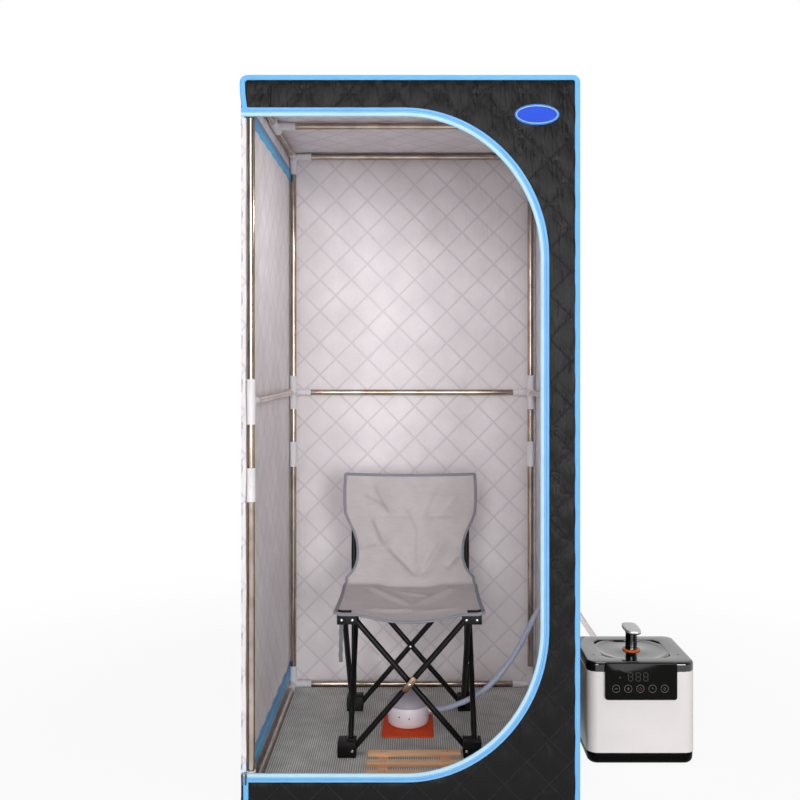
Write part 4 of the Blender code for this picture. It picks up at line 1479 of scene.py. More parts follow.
    def bind(self) -> None:
        """Blue tape folded over the cover's edges, with a thread along it."""
        h, t, w, p, r, low = self.half, self.height, self.binding, self.proud, self.corner_r, 0.006
        shape = Surface()
        fold = [(-w, -0.001), (-w, 0.0010), (-w + 0.0012, 0.0019), (-0.004, 0.0024), (0.4 * p, 0.0020)]
        fold += [(0.85 * p, 0.0006), (p, -0.0016), (p, -w + 0.0012), (0.7 * p, -w), (-0.001, -w), (-0.001, -0.001)]
        side = h - p + 0.0008
        crown = corner_arc(-side + r, t - r, r, 90)[::-1] + corner_arc(side - r, t - r, r, 0)[::-1]
        foot = corner_arc(side - low, p + low, low, 270, 4)[::-1] + corner_arc(-side + low, p + low, low, 180, 4)[::-1]
        grow = self.header_x - self.jamb_x
        turns = [math.pi / 12 * k for k in range(7)]
        flare = [(-self.jamb_x - grow * math.sin(u), self.door_top + 0.002 + 0.050 * u) for u in turns]
        drawn = [(x - (self.header_x - side) * (1 - k / 9), z) for k, (x, z) in enumerate(crown[:9])]
        front = [*flare, *drawn, *crown[9:], (side, 0.0)]
        jamb = [(-self.jamb_x, 0.0), (-self.jamb_x, self.door_sill - 0.003)]
        for path in (front, jamb):
            self.sweep(shape, path, fold, lambda x, z, f: (x, -h - f, z))
        self.sweep(shape, [*crown, *foot], fold, lambda x, z, f: (x, h + f, z), closed=True)
        for s in (-1, 1):
            self.long_edge(shape, s)
        self.kit.piece("cover_binding", shape, [BINDING, self.strip_lining()], CABIN, Slot.COVER)
        row = w - 0.003
        edge = [(x - nx * row, -h - 0.0022, z - nz * row) for (x, z), (nx, nz) in zip(front, normals_of(front))]
        door = [(x, -h - 0.0019, z) for x, z in self.doorway(0.0025 - self.tape, -h)]
        points, turns = [], []
        for path in (edge, door):
            places, ways = evenly(path, self.stitch_pitch)
            points += [tuple(v) for v in places]
            turns += self.slants(ways)
        mesh = scattered("cover_stitches", points, turns, Grain.BEAD, (0.0042, 0.0009, 0.0009), THREAD)
        self.kit.piece("cover_stitches", mesh, [], CABIN, Slot.COVER)

    def long_edge(self, shape: Surface, s: int) -> None:
        """The rounded top edge and the bound foot of one side, from front to back.

        Args:
            shape: The surface that they are added to.
            s: Which side, by the sign of X.
        """
        h, t, r, w = self.half, self.height, self.corner_r, self.binding
        ends = (-h + 0.004, h - 0.004)

        def ring(grow: float, inner: float, y: float) -> list[Point]:
            """The strip's outline at one depth.

            Args:
                grow: How far its outside stands out.
                inner: How far its inside is drawn in.
                y: The depth.

            Returns:
                Its points.
            """
            out = [(h + grow, t - r - w), *corner_arc(h - r, t - r, r + grow, 0), (h - r - w, t + grow)]
            back = [(h - r - w, t - inner), *corner_arc(h - r, t - r, r - inner, 0)[::-1], (h - inner, t - r - w)]
            return [(s * x, y, z) for x, z in out + back]

        shape.loft([ring(0.0012, 0.0022, y) for y in ends], 0)
        shape.loft([ring(-0.0022, self.panel - 0.0004, y) for y in ends], 1)
        foot = [(h + 0.0012, 0.0), (h + 0.0012, w), (h, w + 0.0008), (h - 0.001, w), (h - 0.001, 0.0)]
        shape.loft([[(s * x, y, z) for x, z in foot] for y in ends], 0)

    @staticmethod
    def slants(ways: np.ndarray) -> list[Point]:
        """Turns of small shapes that lie along ways on the front."""
        return [(0, -math.atan2(v[2], v[0]), 0) for v in ways]

    @staticmethod
    def strip_lining() -> Finish:
        """The lining's cloth on narrow strips."""
        return QuiltedCloth("quilted_polyester_strip_lining", **LINING_CLOTH, plane=Plane.SIDE, phase=(0.02, 0.06))

    def zipper(self) -> None:
        """Zip tape round the opening: a pale cord, a blue tape, the coil in its groove, and the sliders."""
        path = self.doorway(0.0, -self.half)
        h, c, w, t = self.half, self.cord, self.tape, self.panel

        def place(x: float, z: float, f: float) -> Point:
            """A point on the front, forward by f."""
            return (x, -h - f, z)

        cord = [(-0.0004, -t), (-0.0010, 0.0008), (0.0006, 0.0026), (0.0030, 0.0036), (0.0056, 0.0034)]
        cord += [(c - 0.0006, 0.0022), (c, 0.0008), (c, -t)]
        tape = [(c, -0.002), (c, 0.0014), (c + 0.0008, 0.0022), (c + 0.0042, 0.0020), (c + 0.0048, 0.0009)]
        tape += [(c + 0.0060, 0.0009), (c + 0.0066, 0.0020), (w - 0.0010, 0.0018), (w, 0.0006), (w, -0.002)]
        shape = Surface()
        self.sweep(shape, path, cord, place, 0)
        self.sweep(shape, path, tape, place, 1)
        self.kit.piece("doorway_tape", shape, [ZIP_CORD, ZIP_TAPE], CABIN, Slot.COVER)

        groove = [(x, -h - 0.0011, z) for x, z in self.doorway(-c - 0.0054, -h)]
        points, ways = evenly(groove, self.coil_pitch)
        coil = scattered("doorway_coil", points, self.slants(ways), Grain.BEAD, (0.0017, 0.0014, 0.0016), ZIP_COIL)
        self.kit.piece("doorway_coil", coil, [], CABIN, Slot.COVER)

        sliders = Surface()
        z = self.door_sill - 0.004
        for x in self.slider_x:
            sliders.block((x - 0.0030, -h - 0.0062, z - 0.006), (x + 0.0030, -h - 0.0018, z + 0.006), 0.0014)
            sliders.block((x - 0.0020, -h - 0.0078, z - 0.021), (x + 0.0020, -h - 0.0060, z - 0.001), 0.0007)
        self.kit.piece("zip_sliders", sliders, [SLIDER], CABIN, Slot.COVER)

    def wall_tapes(self) -> None:
        """Blue tapes along the inside of the left wall."""
        shape = Surface()
        x, (front, back) = self.left_face + self.panel, self.wall_tape_y
        for low, high in self.wall_tape_z:
            middle = low + 0.62 * (high - low)
            levels = (low, middle, 0.0034), (middle + 0.0008, high - 0.003, 0.0031), (high - 0.0024, high, 0.0035)
            for kind, (foot, head, deep) in enumerate(levels):
                shape.block((x - 0.0016, front, foot), (x + deep, back, head), 0.0005, kind)
        # The top strip takes the zip coil's blue, which is darkened with painted shade.
        self.kit.piece("left_wall_tapes", shape, [WALL_TAPE, WALL_SELVEDGE, ZIP_COIL], CABIN, Slot.COVER)

    def door_trim(self) -> None:
        """The flap's edge tape, which also covers the quilting's ends, and the soft fold along its hinge."""
        path = self.doorway(self.door_clear, self.hinge_x + self.hinge_clear)
        base, t = -self.half, self.panel

        def place(x: float, z: float, f: float) -> Point:
            """A point on the folded-back flap, f from its lining."""
            return (base + f, base + x - self.hinge_x, z)

        band = [(0.0, 0.0010), (-0.0006, -0.0006), (-0.0085, -0.0014), (-0.0085, t - 0.0004), (-0.0006, t - 0.0002)]
        band += [(0.0, t - 0.0010)]
        inner = [(-0.0085, -0.0010), (-0.0205, -0.0008), (-0.0210, 0.0026), (-0.0085, 0.0026)]
        over = [(-0.0080, t - 0.0016), (-0.0155, t - 0.0016), (-0.0155, t - 0.0004), (-0.0080, t - 0.0002)]
        shape = Surface()
        self.sweep(shape, path, band, place, 0)
        self.sweep(shape, path, inner, place, 1)
        self.sweep(shape, path, over, place, 0)
        self.kit.piece("door_tape", shape, [ZIP_CORD, ZIP_TAPE], "door", Slot.COVER)

        fold = Surface()
        rings = []
        low, high = self.door_sill + 0.004, self.door_top - 0.004
        for i in range(91):
            turn = math.pi * i / 90
            swell = 0.0006 * math.sin(9 * turn) + 0.0004 * math.sin(23 * turn)
            outline = [(-0.0002, 0.0021), (0.0060, 0.0017 + 0.0002 * math.sin(31 * turn)), (0.0113 + swell, 0.0020)]
            outline += [(0.0119 + swell, 0.0030), (0.0112 + swell, 0.0040), (0.0049, 0.0042), (0.0043, 0.0150)]
            outline.append((0.0002, 0.0150))
            rings.append([(base + x, base + y, low + (high - low) * i / 90) for x, y in outline])
        fold.loft(rings)
        look = QuiltedCloth("quilted_polyester_fold_lining", **LINING_CLOTH, plane=Plane.FRONT, phase=(0.02, 0.03))
        self.kit.piece("door_fold", fold, [look], "door", Slot.COVER)

    def badge(self) -> None:
        """A bare oval patch at the opening's top right."""
        (x, z), (a, b), y = self.badge_at, self.badge_half, -self.half - 0.0022
        shape = Surface()

        def ring(grow: float, depth: float) -> list[Point]:
            """An oval at a depth."""
            return [(x + (a + grow) * math.cos(t), y - depth, z + (b + grow) * math.sin(t)) for t in around(72)]

        rim = [ring(0.0, -0.0012), ring(0.0, 0.0012), ring(-0.0010, 0.0020), ring(-0.0030, 0.0020)]
        shape.loft([*rim, ring(-0.0034, 0.0016)], 1, caps=(True, False))
        pale = [ring(-0.0034, 0.0016), ring(-0.0038, 0.0023), ring(-0.0052, 0.0023), ring(-0.0056, 0.0016)]
        shape.loft(pale, 2, caps=(False, False))
        shape.loft([ring(-0.0056, 0.0016), ring(-0.014, 0.0019), ring(-0.022, 0.0020)], 0, caps=(False, True))
        self.kit.piece("cover_badge", shape, [BADGE_FIELD, BADGE_RIM, BADGE_RING], CABIN, Slot.COVER)

    def collar(self) -> None:
        """A collar round the hose port, on both faces of the right wall."""
        y, z = self.port
        r, out, inn = self.port_r, self.panel + 0.0030, -0.0026
        profile = [(r, inn), (r + 0.012, inn), (r + 0.0150, 0.0), (r + 0.0150, self.panel), (r + 0.012, out), (r, out)]
        shape = Surface()
        shape.turned((self.half - self.panel, y, z), profile, (1, 0, 0), closed=True)
        self.kit.piece("port_collar", shape, [COLLAR], CABIN, Slot.COVER)

    def mat(self) -> None:
        """The ribbed floor mat, a sheet with a rib repeated across it, and the thin cloth under it."""
        x, y, top = self.mat_x, self.mat_y, self.mat_top
        shape = Surface()
        # The sheet between the ribs takes the darker groove colour, painted shade.
        shape.block((-x, -y, 0.0), (x, y, top - self.mat_rib + 0.0002), 0.0006)
        sheet = self.kit.piece("floor_mat_sheet", shape, [MAT_GROOVE_SHADE], CABIN, Slot.MAT, ["floor_mat"])
        count = round(2 * x / self.mat_pitch)
        points = [(-x + (i + 0.5) * 2 * x / count, 0.0, top - self.mat_rib / 2) for i in range(count)]
        size = (self.mat_pitch * self.mat_share, 2 * y - 0.002, self.mat_rib)
        ribs = scattered("floor_mat_ribs", points, [(0, 0, 0)] * count, Grain.BLOCK, size, MAT_FOAM)
        rows = self.kit.piece("floor_mat_ribs", ribs, [], CABIN, Slot.MAT)
        wide, deep = self.half - 2 * self.panel - self.gap, self.half - self.panel
        cloth = Surface()
        cloth.block((-wide, -deep, 0.0), (wide, deep, self.cloth), 0.0001, steps=1)
        under = self.kit.piece("floor_cloth", cloth, [MAT_GROOVE_SHADE], CABIN, Slot.MAT)


# Stainless tube: bright line down the middle, warm brown towards its edges; its warm tint and brown smears are painted
# reflection.
TUBE_STEEL = DrawnSteel("drawn_stainless_tube", "#c8baac", "#927f6d")
# Fittings: white polypropylene, softly glossy.
FITTING_WHITE = Moulded("moulded_polypropylene_white", "#efecee", 0.38, grain_mm=0.7, relief=0.06, drift=0.03)


@dataclass
class Frame:
    """The tubes and fittings that carry the cover."""

    kit: Kit
    radius: float = 0.0095
    fitting: float = 0.0117
    elbow_r: float = 0.0123
    x: float = 0.3981
    y: float = 0.4029
    top: float = 1.7829
    bottom: float = 0.0126
    socket: float = 0.060
    stop: float = 0.0143
    middle_z: float = 0.992
    tee_length: float = 0.113
    branch: float = 0.0587
    coupler: float = 0.785
    coupler_length: float = 0.084
    rail_end: float = 0.0133
    tee_reach: float = 0.03

    def build(self) -> None:
        """Builds every tube and fitting."""
        self.rails()
        for corner, (sx, sy) in CORNERS.items():
            self.post(corner, sx, sy)
            self.elbow(f"top_corner_{corner}", sx, sy, self.top, -1)
            self.elbow(f"bottom_corner_{corner}", sx, sy, self.bottom, 1)
        self.middle()
        self.crossbar()

    def tube(self, name: str, start: Point, end: Point) -> None:
        """One plain tube in place of a solid.

        Args:
            name: The solid.
            start: Middle of its first end.
            end: Middle of its last end.
        """
        shape = Surface()
        shape.rod(start, end, self.radius)
        self.kit.piece(f"{name}_tube", shape, [TUBE_STEEL], CABIN, Slot.STEEL, [name])

    def rails(self) -> None:
        """The four rails at the top and the four at the bottom."""
        x, y = self.x - self.stop, self.y - self.stop
        for level, z in (("top", self.top), ("bottom", self.bottom)):
            for side, s in (("front", -1), ("rear", 1)):
                self.tube(f"{level}_rail_{side}", (-x, s * self.y, z), (x, s * self.y, z))
            for side, s in (("left", -1), ("right", 1)):
                self.tube(f"{level}_rail_{side}", (s * self.x, -y, z), (s * self.x, y, z))

    def sleeve(self, shape: Surface, start: Point, end: Point, kind: int = 0) -> None:
        """A socket or sleeve with a collar at each end.

        Args:
            shape: The surface that it is added to.
            start: Middle of its first end.
            end: Middle of its last end.
            kind: Material number.
        """
        along = Vector(end) - Vector(start)
        n, r = along.length, self.fitting
        c = r + 0.0005
        profile = [(self.radius, 0), (c - 0.0008, 0), (c, 0.0008), (c, 0.005), (r, 0.0062)]
        profile += [(r, n - 0.0062), (c, n - 0.005), (c, n - 0.0008), (c - 0.0008, n), (self.radius, n)]
        shape.turned(start, profile, along, kind, 32)

    def post(self, corner: str, sx: int, sy: int) -> None:
        """A post of two tubes, joined by a straight coupler.

        Args:
            corner: Its corner.
            sx: The corner's sign in X.
            sy: The corner's sign in Y.
        """
        x, y = sx * self.x, sy * self.y
        shape = Surface()
        shape.rod((x, y, self.bottom + self.stop), (x, y, self.top - self.stop), self.radius)
        half = self.coupler_length / 2
        self.sleeve(shape, (x, y, self.coupler - half), (x, y, self.coupler + half), 1)
        stop = [(0.0117, 0), (0.0122, 0.001), (0.0122, 0.003), (0.0117, 0.004)]
        shape.turned((x, y, self.coupler - 0.002), stop, kind=1)
        node = f"post_{corner}"
        self.kit.piece(f"{node}_tube", shape, [TUBE_STEEL, FITTING_WHITE], CABIN, Slot.STEEL, [node])

    def elbow(self, node: str, sx: int, sy: int, z: float, up: int) -> None:
        """A corner fitting with three sockets.

        Args:
            node: The solid that it stands for.
            sx: The corner's sign in X.
            sy: The corner's sign in Y.
            z: Its height.
            up: Way of its upright socket.
        """
        centre = Vector((sx * self.x, sy * self.y, z))
        shape = Surface()
        turns = np.linspace(0.05, math.pi - 0.05, 15)
        shape.turned(centre, [(self.elbow_r * math.sin(t), -self.elbow_r * math.cos(t)) for t in turns], sides=32)
        for way in (Vector((-sx, 0, 0)), Vector((0, -sy, 0)), Vector((0, 0, up))):
            shape.turned(centre, [(self.fitting, 0), (self.fitting, 0.010)], way, sides=32)
            self.sleeve(shape, centre + 0.008 * way, centre + self.socket * way)
        self.kit.piece(f"{node}_look", shape, [FITTING_WHITE], CABIN, Slot.FITTING, [node])

    def tee(self, shape: Surface, centre: Point, along: Point, ways: Sequence[Point]) -> None:
        """A tee fitting.

        Args:
            shape: The surface that it is added to.
            centre: Its middle.
            along: Way of its run.
            ways: Ways of its branches.
        """
        middle, run = Vector(centre), Vector(along)
        self.sleeve(shape, middle - run * self.tee_length / 2, middle + run * self.tee_length / 2, 1)
        for way in ways:
            branch = Vector(way)
            shape.turned(middle, [(self.fitting, 0.004), (self.fitting, 0.02)], branch, 1, 32)
            self.sleeve(shape, middle + 0.010 * branch, middle + self.branch * branch, 1)

    def middle(self) -> None:
        """The middle rails with their tees."""
        z = self.middle_z
        for side, s in (("left", -1), ("right", 1)):
            x = s * self.x
            shape = Surface()
            shape.rod((x, -self.y + self.tee_reach, z), (x, self.y - self.tee_reach, z), self.radius)
            self.tee(shape, (x, -self.y, z), (0, 0, 1), [(0, 1, 0)])
            self.tee(shape, (x, self.y, z), (0, 0, 1), [(0, -1, 0), (-s, 0, 0)])
            node = f"mid_rail_{side}"
            self.kit.piece(f"{node}_tube", shape, [TUBE_STEEL, FITTING_WHITE], CABIN, Slot.STEEL, [node])
        x = self.x - self.rail_end
        self.tube("mid_rail_rear", (-x, self.y, z), (x, self.y, z))

    def crossbar(self) -> None:
        """The bar across the roof, with a tee at each end."""
        shape = Surface()
        end = self.x - self.tee_reach
        shape.rod((-end, 0, self.top), (end, 0, self.top), self.radius)
        for s in (-1, 1):
            self.tee(shape, (s * self.x, 0, self.top), (0, 1, 0), [(-s, 0, 0)])
        finishes = [TUBE_STEEL, FITTING_WHITE]
        self.kit.piece("roof_crossbar_tube", shape, finishes, CABIN, Slot.STEEL, ["roof_crossbar"])


# Chair tube: powder-coated steel, satin black.
CHAIR_PAINT = Moulded("powder_coated_tube_black", "#0e0e0e", 0.36, grain_mm=1.6, relief=0.05, specular=0.22)
# Brackets and feet: moulded nylon, a little duller.
CHAIR_NYLON = Moulded("moulded_nylon_black", "#0f0f0f", 0.48, grain_mm=0.7, relief=0.12, specular=0.22)
# Rivets: bright plated steel.
RIVET = Moulded("plated_rivet_steel", "#dcdcda", 0.2, 1.0, 0.6, 0.03)
# Crossing clip: brown anodised plate.
CLIP = Moulded("anodised_clip_bronze", "#7d6753", 0.35, 0.8, 0.8, 0.05)
# Seat: coated polyester canvas, warm grey.
SEAT_CANVAS = Canvas("coated_canvas_grey", "#c0b8b9")
# Hem: folded tape, blue grey.
SEAT_HEM = WovenTape("polyester_hem_blue_grey", "#8f919b", 2.0, 0.8)
# Strap: webbing, mid grey.
STRAP = WovenTape("polyester_webbing_grey", "#77767c", 2.0, 0.8)


@dataclass(frozen=True)
class Crease:
    """A soft fold in cloth, from one point to another.

    Attributes:
        start: First point, as (across, along).
        end: Last point.
        width: Half width of its steep side.
        height: Height of the fold; a valley if negative.
    """

    start: tuple[float, float]
    end: tuple[float, float]
    width: float
    height: float

    def at(self, a: np.ndarray, b: np.ndarray) -> np.ndarray:
        """Height of the fold at points of the cloth.

        Args:
            a: Coordinates across.
            b: Coordinates along.

        Returns:
            The heights.
        """
        dx, dy = self.end[0] - self.start[0], self.end[1] - self.start[1]
        length = math.hypot(dx, dy)
        u = ((a - self.start[0]) * dx + (b - self.start[1]) * dy) / length**2
        d = ((a - self.start[0]) * dy - (b - self.start[1]) * dx) / length
        fade = np.clip(u * 4, 0, 1) * np.clip((1 - u) * 4, 0, 1)
        fade = fade * fade * (3 - 2 * fade)
        reach = np.where(d > 0, self.width, self.width * 3.2)
        return self.height * fade * np.exp(-np.abs(d / reach) ** 1.5)


@dataclass
class Tile:
    """A stretch of the seat's cloth that moves with one body.

    Attributes:
        name: Its name.
        rows: First and last row of the cloth.
        columns: First and last column.
        body: The body that it moves with.
        axis: Way in which it would close up as the chair folds; when it is set, the tile only gets a mesh of its own.
        anchor: Where it would close up to as the chair folds; not used.
        keep: Share of its size that would be left; not used.
    """

    name: str
    rows: tuple[int, int]
    columns: tuple[int, int]
    body: str
    axis: tuple[float, float, float] | None = None
    anchor: tuple[float, float, float] = (0.0, 0.0, 0.0)
    keep: float = 1.0


BACK_CREASES = (
    Crease((-0.112, 0.722), (-0.052, 0.610), 0.007, -0.0075),
    Crease((-0.118, 0.618), (-0.074, 0.515), 0.007, -0.0080),
    Crease((-0.080, 0.530), (0.034, 0.415), 0.008, -0.0080),
    Crease((0.100, 0.722), (0.040, 0.575), 0.009, -0.0060),
    Crease((0.112, 0.555), (0.026, 0.412), 0.007, -0.0075),
    Crease((0.026, 0.590), (0.024, 0.420), 0.006, -0.0050),
    Crease((-0.010, 0.650), (0.030, 0.560), 0.006, -0.0042),
    Crease((0.105, 0.440), (0.165, 0.505), 0.007, -0.0055),
    Crease((-0.165, 0.512), (-0.095, 0.530), 0.005, -0.0040),
    Crease((-0.150, 0.690), (-0.060, 0.640), 0.006, -0.0035),
    Crease((0.150, 0.680), (0.085, 0.610), 0.006, -0.0035),
    Crease((-0.195, 0.6125), (0.195, 0.6125), 0.0018, -0.0022),
)
SEAT_CREASES = (
    Crease((-0.150, 0.158), (0.012, -0.030), 0.008, 0.0060),
    Crease((0.165, 0.150), (0.002, -0.020), 0.008, 0.0055),
    Crease((-0.128, -0.112), (0.030, -0.050), 0.007, 0.0045),
    Crease((0.140, -0.112), (-0.002, -0.060), 0.007, 0.0045),
    Crease((-0.100, 0.168), (0.100, 0.160), 0.006, -0.0050),
    Crease((-0.060, 0.120), (0.070, 0.060), 0.006, 0.0035),
)
BACK_EDGE = (
    (0.7435, 0.2030),
    (0.700, 0.2062),
    (0.655, 0.2060),
    (0.620, 0.2035),
    (0.595, 0.1930),
    (0.565, 0.1775),
    (0.535, 0.1680),
    (0.505, 0.1645),
    (0.475, 0.1660),
    (0.450, 0.1740),
    (0.430, 0.1880),
    (0.414, 0.2040),
)


@dataclass
class FoldingChair:
    """The camp chair: bars, brackets, feet, posts and sewn seat."""

    kit: Kit
    x: float = -0.0045
    y: float = 0.026
    span: float = 0.346
    foot_pivot: float = 0.0225
    seat_pivot: float = 0.3835
    inset: float = 0.016
    offset: float = 0.00815
    bar_r: float = 0.008
    bracket_half: float = 0.026
    foot_half: float = 0.025
    bracket_top: float = 0.3965
    cloth: float = 0.0024
    hem: float = 0.0034
    crease: float = 1.7
    front: float = -0.174
    back: float = 0.1905
    turn: float = 0.020
    back_top: float = 0.7435
    half_seat: float = 0.2065
    sag: float = 0.021
    columns: int = 64
    seat_rows: int = 46
    turn_rows: int = 9
    back_rows: int = 58
    near: float = 0.040
    gathered: float = 0.06
    lowered: float = 0.64
    bar_past: float = 0.0039
    edge: float = 0.0018
    rivet: tuple[float, float, float] = (0.0082, 0.0082, 0.0034)
    bars: dict[str, tuple[str, str, str, int]] = field(
        default_factory=lambda: {
            "front_1": ("front_left", "front_right", "x", -1),
            "front_2": ("front_right", "front_left", "x", 1),
            "left_1": ("front_left", "rear_left", "y", 1),
            "left_2": ("rear_left", "front_left", "y", -1),
            "right_1": ("front_right", "rear_right", "y", 1),
            "right_2": ("rear_right", "front_right", "y", -1),
            "rear_1": ("rear_left", "rear_right", "x", -1),
            "rear_2": ("rear_right", "rear_left", "x", 1),
        }
    )

    def build(self) -> None:
        """Builds every piece of the chair."""
        for bar in self.bars:
            self.bar(bar)
        for corner in CORNERS:
            self.bracket(corner)
            self.foot(corner)
        self.seat()
        self.strap()

    def corner(self, name: str) -> Vector:
        """Middle of a corner, on the floor."""
        sx, sy = CORNERS[name]
        return Vector((self.x + sx * self.span / 2, self.y + sy * self.span / 2, 0))

    def pivot(self, bar: str, end: str) -> Vector:
        """A bar's pivot.

        Args:
            bar: The bar.
            end: Which end, foot or bracket.

        Returns:
            The pivot's place.
        """
        foot, bracket, run, side = self.bars[bar]
        corner, z = (foot, self.foot_pivot) if end == "foot" else (bracket, self.seat_pivot)
        sx, sy = CORNERS[corner]
        if run == "x":
            return self.corner(corner) + Vector((-sx * self.inset, side * self.offset, z))
        return self.corner(corner) + Vector((side * self.offset, -sy * self.inset, z))

    def bar(self, bar: str) -> None:
        """A scissor bar, with its crossing rivet.

        Args:
            bar: The bar.
        """
        run, side = self.bars[bar][2:]
        foot, top = self.pivot(bar, "foot"), self.pivot(bar, "bracket")
        way = (top - foot).normalized()
        outward = side * (Vector((0, 1, 0)) if run == "x" else Vector((1, 0, 0)))
        middle = (foot + top) / 2
        shape = Surface()
        shape.rod(foot - self.bar_past * way, top + self.bar_past * way, self.bar_r, 0, 28)
        head = [(0.0042, 0.0), (0.0042, 0.0006), (0.0030, 0.0014), (0.0008, 0.0017)]
        lift = self.bar_r - 0.0006
        if bar == "front_1":
            turn = Vector((1, 0, 0)).rotation_difference(way).to_matrix().to_4x4()
            at = middle + outward * self.bar_r
            shape.block(at - Vector((0.024, 0.0022, 0.0085)), at + Vector((0.024, 0.0022, 0.0085)), 0.0014, 2, turn)
            lift += 0.0022
        shape.turned(middle + outward * lift, head, outward, 1, 16)
        if bar.endswith("1"):
            shape.rod(middle, middle - outward * (2 * self.offset + self.bar_r), 0.003, 1, 16)
        node = f"chair_bar_{bar}"
        self.kit.piece(f"{node}_look", shape, [CHAIR_PAINT, RIVET, CLIP], f"bar_{bar}", Slot.TUBE, [node])

    def rivets(self, corner: str, end: str, half: float, body: str) -> None:
        """Bright rivet heads on the outside of a foot or bracket.

        Args:
            corner: The corner.
            end: Which end of the bars, foot or bracket.
            half: Half the width of the moulding.
            body: The body that they move with.
        """
        sx, sy = CORNERS[corner]
        centre = self.corner(corner)
        points, turns = [], []
        for bar, spec in self.bars.items():
            if spec[0 if end == "foot" else 1] != corner:
                continue
            at = self.pivot(bar, end)
            if spec[2] == "x":
                at.y = centre.y + sy * half
                turns.append((math.pi / 2, 0, 0))
            else:
                at.x = centre.x + sx * half
                turns.append((0, math.pi / 2, 0))
            points.append(tuple(at))
        z = self.foot_pivot if end == "foot" else self.seat_pivot
        if end == "bracket":
            points.append((centre.x + sx * half * 0.5, centre.y + sy * half, z))
            turns.append((math.pi / 2, 0, 0))
        name = f"chair_{end}_rivets_{corner}"
        mesh = scattered(name, points, turns, Grain.BEAD, self.rivet, RIVET)
        self.kit.piece(name, mesh, [], body, Slot.NYLON)

    def bracket(self, corner: str) -> None:
        """A seat bracket with its rivets."""
        self.kit.refined(f"chair_bracket_{corner}", self.edge, CHAIR_NYLON, f"bracket_{corner}", Slot.NYLON)
        self.rivets(corner, "bracket", self.bracket_half, f"bracket_{corner}")

    def foot(self, corner: str) -> None:
        """A foot, with the back post at the rear, and its rivets.

        Args:
            corner: The corner.
        """
        kind = "post" if corner.startswith("rear") else "foot"
        self.kit.refined(f"chair_{kind}_{corner}", self.edge, CHAIR_NYLON, f"{kind}_{corner}", Slot.NYLON)
        self.rivets(corner, "foot", self.foot_half, f"{kind}_{corner}")

    def seat_row(self, y: float, level: float) -> np.ndarray:
        """One row of the seat's cloth, across the chair.

        Args:
            y: Its place from front to back.
            level: Height of the brackets' cloth.

        Returns:
            The row's points.
        """
        side = np.linspace(-1, 1, self.columns + 1)
        share = (y - self.front) / (self.back - self.front)
        x = (self.half_seat - 0.004 * math.sin(math.pi * share)) * side
        hang = self.span / 2 - self.bracket_half - 0.004
        slack = np.clip(1 - (x / hang) ** 2, 0, 1)
        z = level - self.sag * slack**1.15 * (1 - share**2.4)
        z = z + self.crease * sum(c.at(x, np.full_like(x, y)) for c in SEAT_CREASES) * np.clip(slack * 5, 0, 1)
        lip = 0.007 * np.clip((np.abs(side) - 0.90) / 0.10, 0, 1) ** 2 * (1 - share)
        return np.stack([x + self.x, np.full_like(x, y), z + lip], axis=1)

    def back_row(self, z: float, level: float) -> np.ndarray:
        """One row of the back's cloth, across the chair.

        Args:
            z: Its height.
            level: Height of the brackets' cloth.

        Returns:
            The row's points.
        """
        side = np.linspace(-1, 1, self.columns + 1)
        heights, widths = zip(*reversed(BACK_EDGE))
        x = float(np.interp(z, heights, widths)) * side
        climb = (z - level) / (self.back_top - level)
        fold = self.crease * sum(c.at(x, np.full_like(x, z)) for c in BACK_CREASES)
        bow = (0.004 + 0.007 * math.sin(math.pi * min(1.0, climb))) * (1 - side**2)
        drop = 0.0035 * (1 - side**2) * max(0.0, climb - 0.7) / 0.3
        return np.stack([x + self.x, self.back + fold - bow, np.full_like(x, z) - drop], axis=1)

    def seat(self) -> None:
        """The sewn seat and back, in the tiles that follow the chair as it folds."""
        level = self.bracket_top + 0.0021
        seat_y = np.linspace(self.front, self.back - self.turn, self.seat_rows)
        rows = [self.seat_row(y, level) for y in seat_y]
        tail, head = rows[-1], self.back_row(level + self.turn, level)
        for t in np.linspace(0, math.pi / 2, self.turn_rows)[1:-1]:
            bent = tail + (head - tail) * math.sin(t)
            bent[:, 2] = tail[:, 2] + (head[:, 2] - tail[:, 2]) * (1 - math.cos(t))
            rows.append(bent)
        bend = len(rows) - 1
        rows += [self.back_row(z, level) for z in np.linspace(level + self.turn, self.back_top, self.back_rows)]
        grid = np.stack(rows)
        normal = np.cross(np.gradient(grid, axis=1), np.gradient(grid, axis=0))
        normal /= np.linalg.norm(normal, axis=2)[:, :, None] + 1e-12
        lx, fy = self.x - self.span / 2 + self.near, self.y - self.span / 2 + self.near
        ry = self.y + self.span / 2 - self.near
        left = int(np.argmin(np.abs(grid[0, :, 0] - lx)))
        right = self.columns - left
        first = int(np.argmin(np.abs(seat_y - fy)))
        last = int(np.argmin(np.abs(seat_y - ry)))
        halfway = (first + last) // 2
        end, top = self.columns, len(rows) - 1
        across, along, up = (1.0, 0.0, 0.0), (0.0, 1.0, 0.0), (0.0, 0.0, 1.0)
        at_left, at_front, at_top = (lx, 0.0, 0.0), (0.0, fy, 0.0), (0.0, 0.0, self.back_top)
        sides, heights = (across, at_left, self.gathered), (up, at_top, self.lowered)
        depths = (along, at_front, self.gathered)
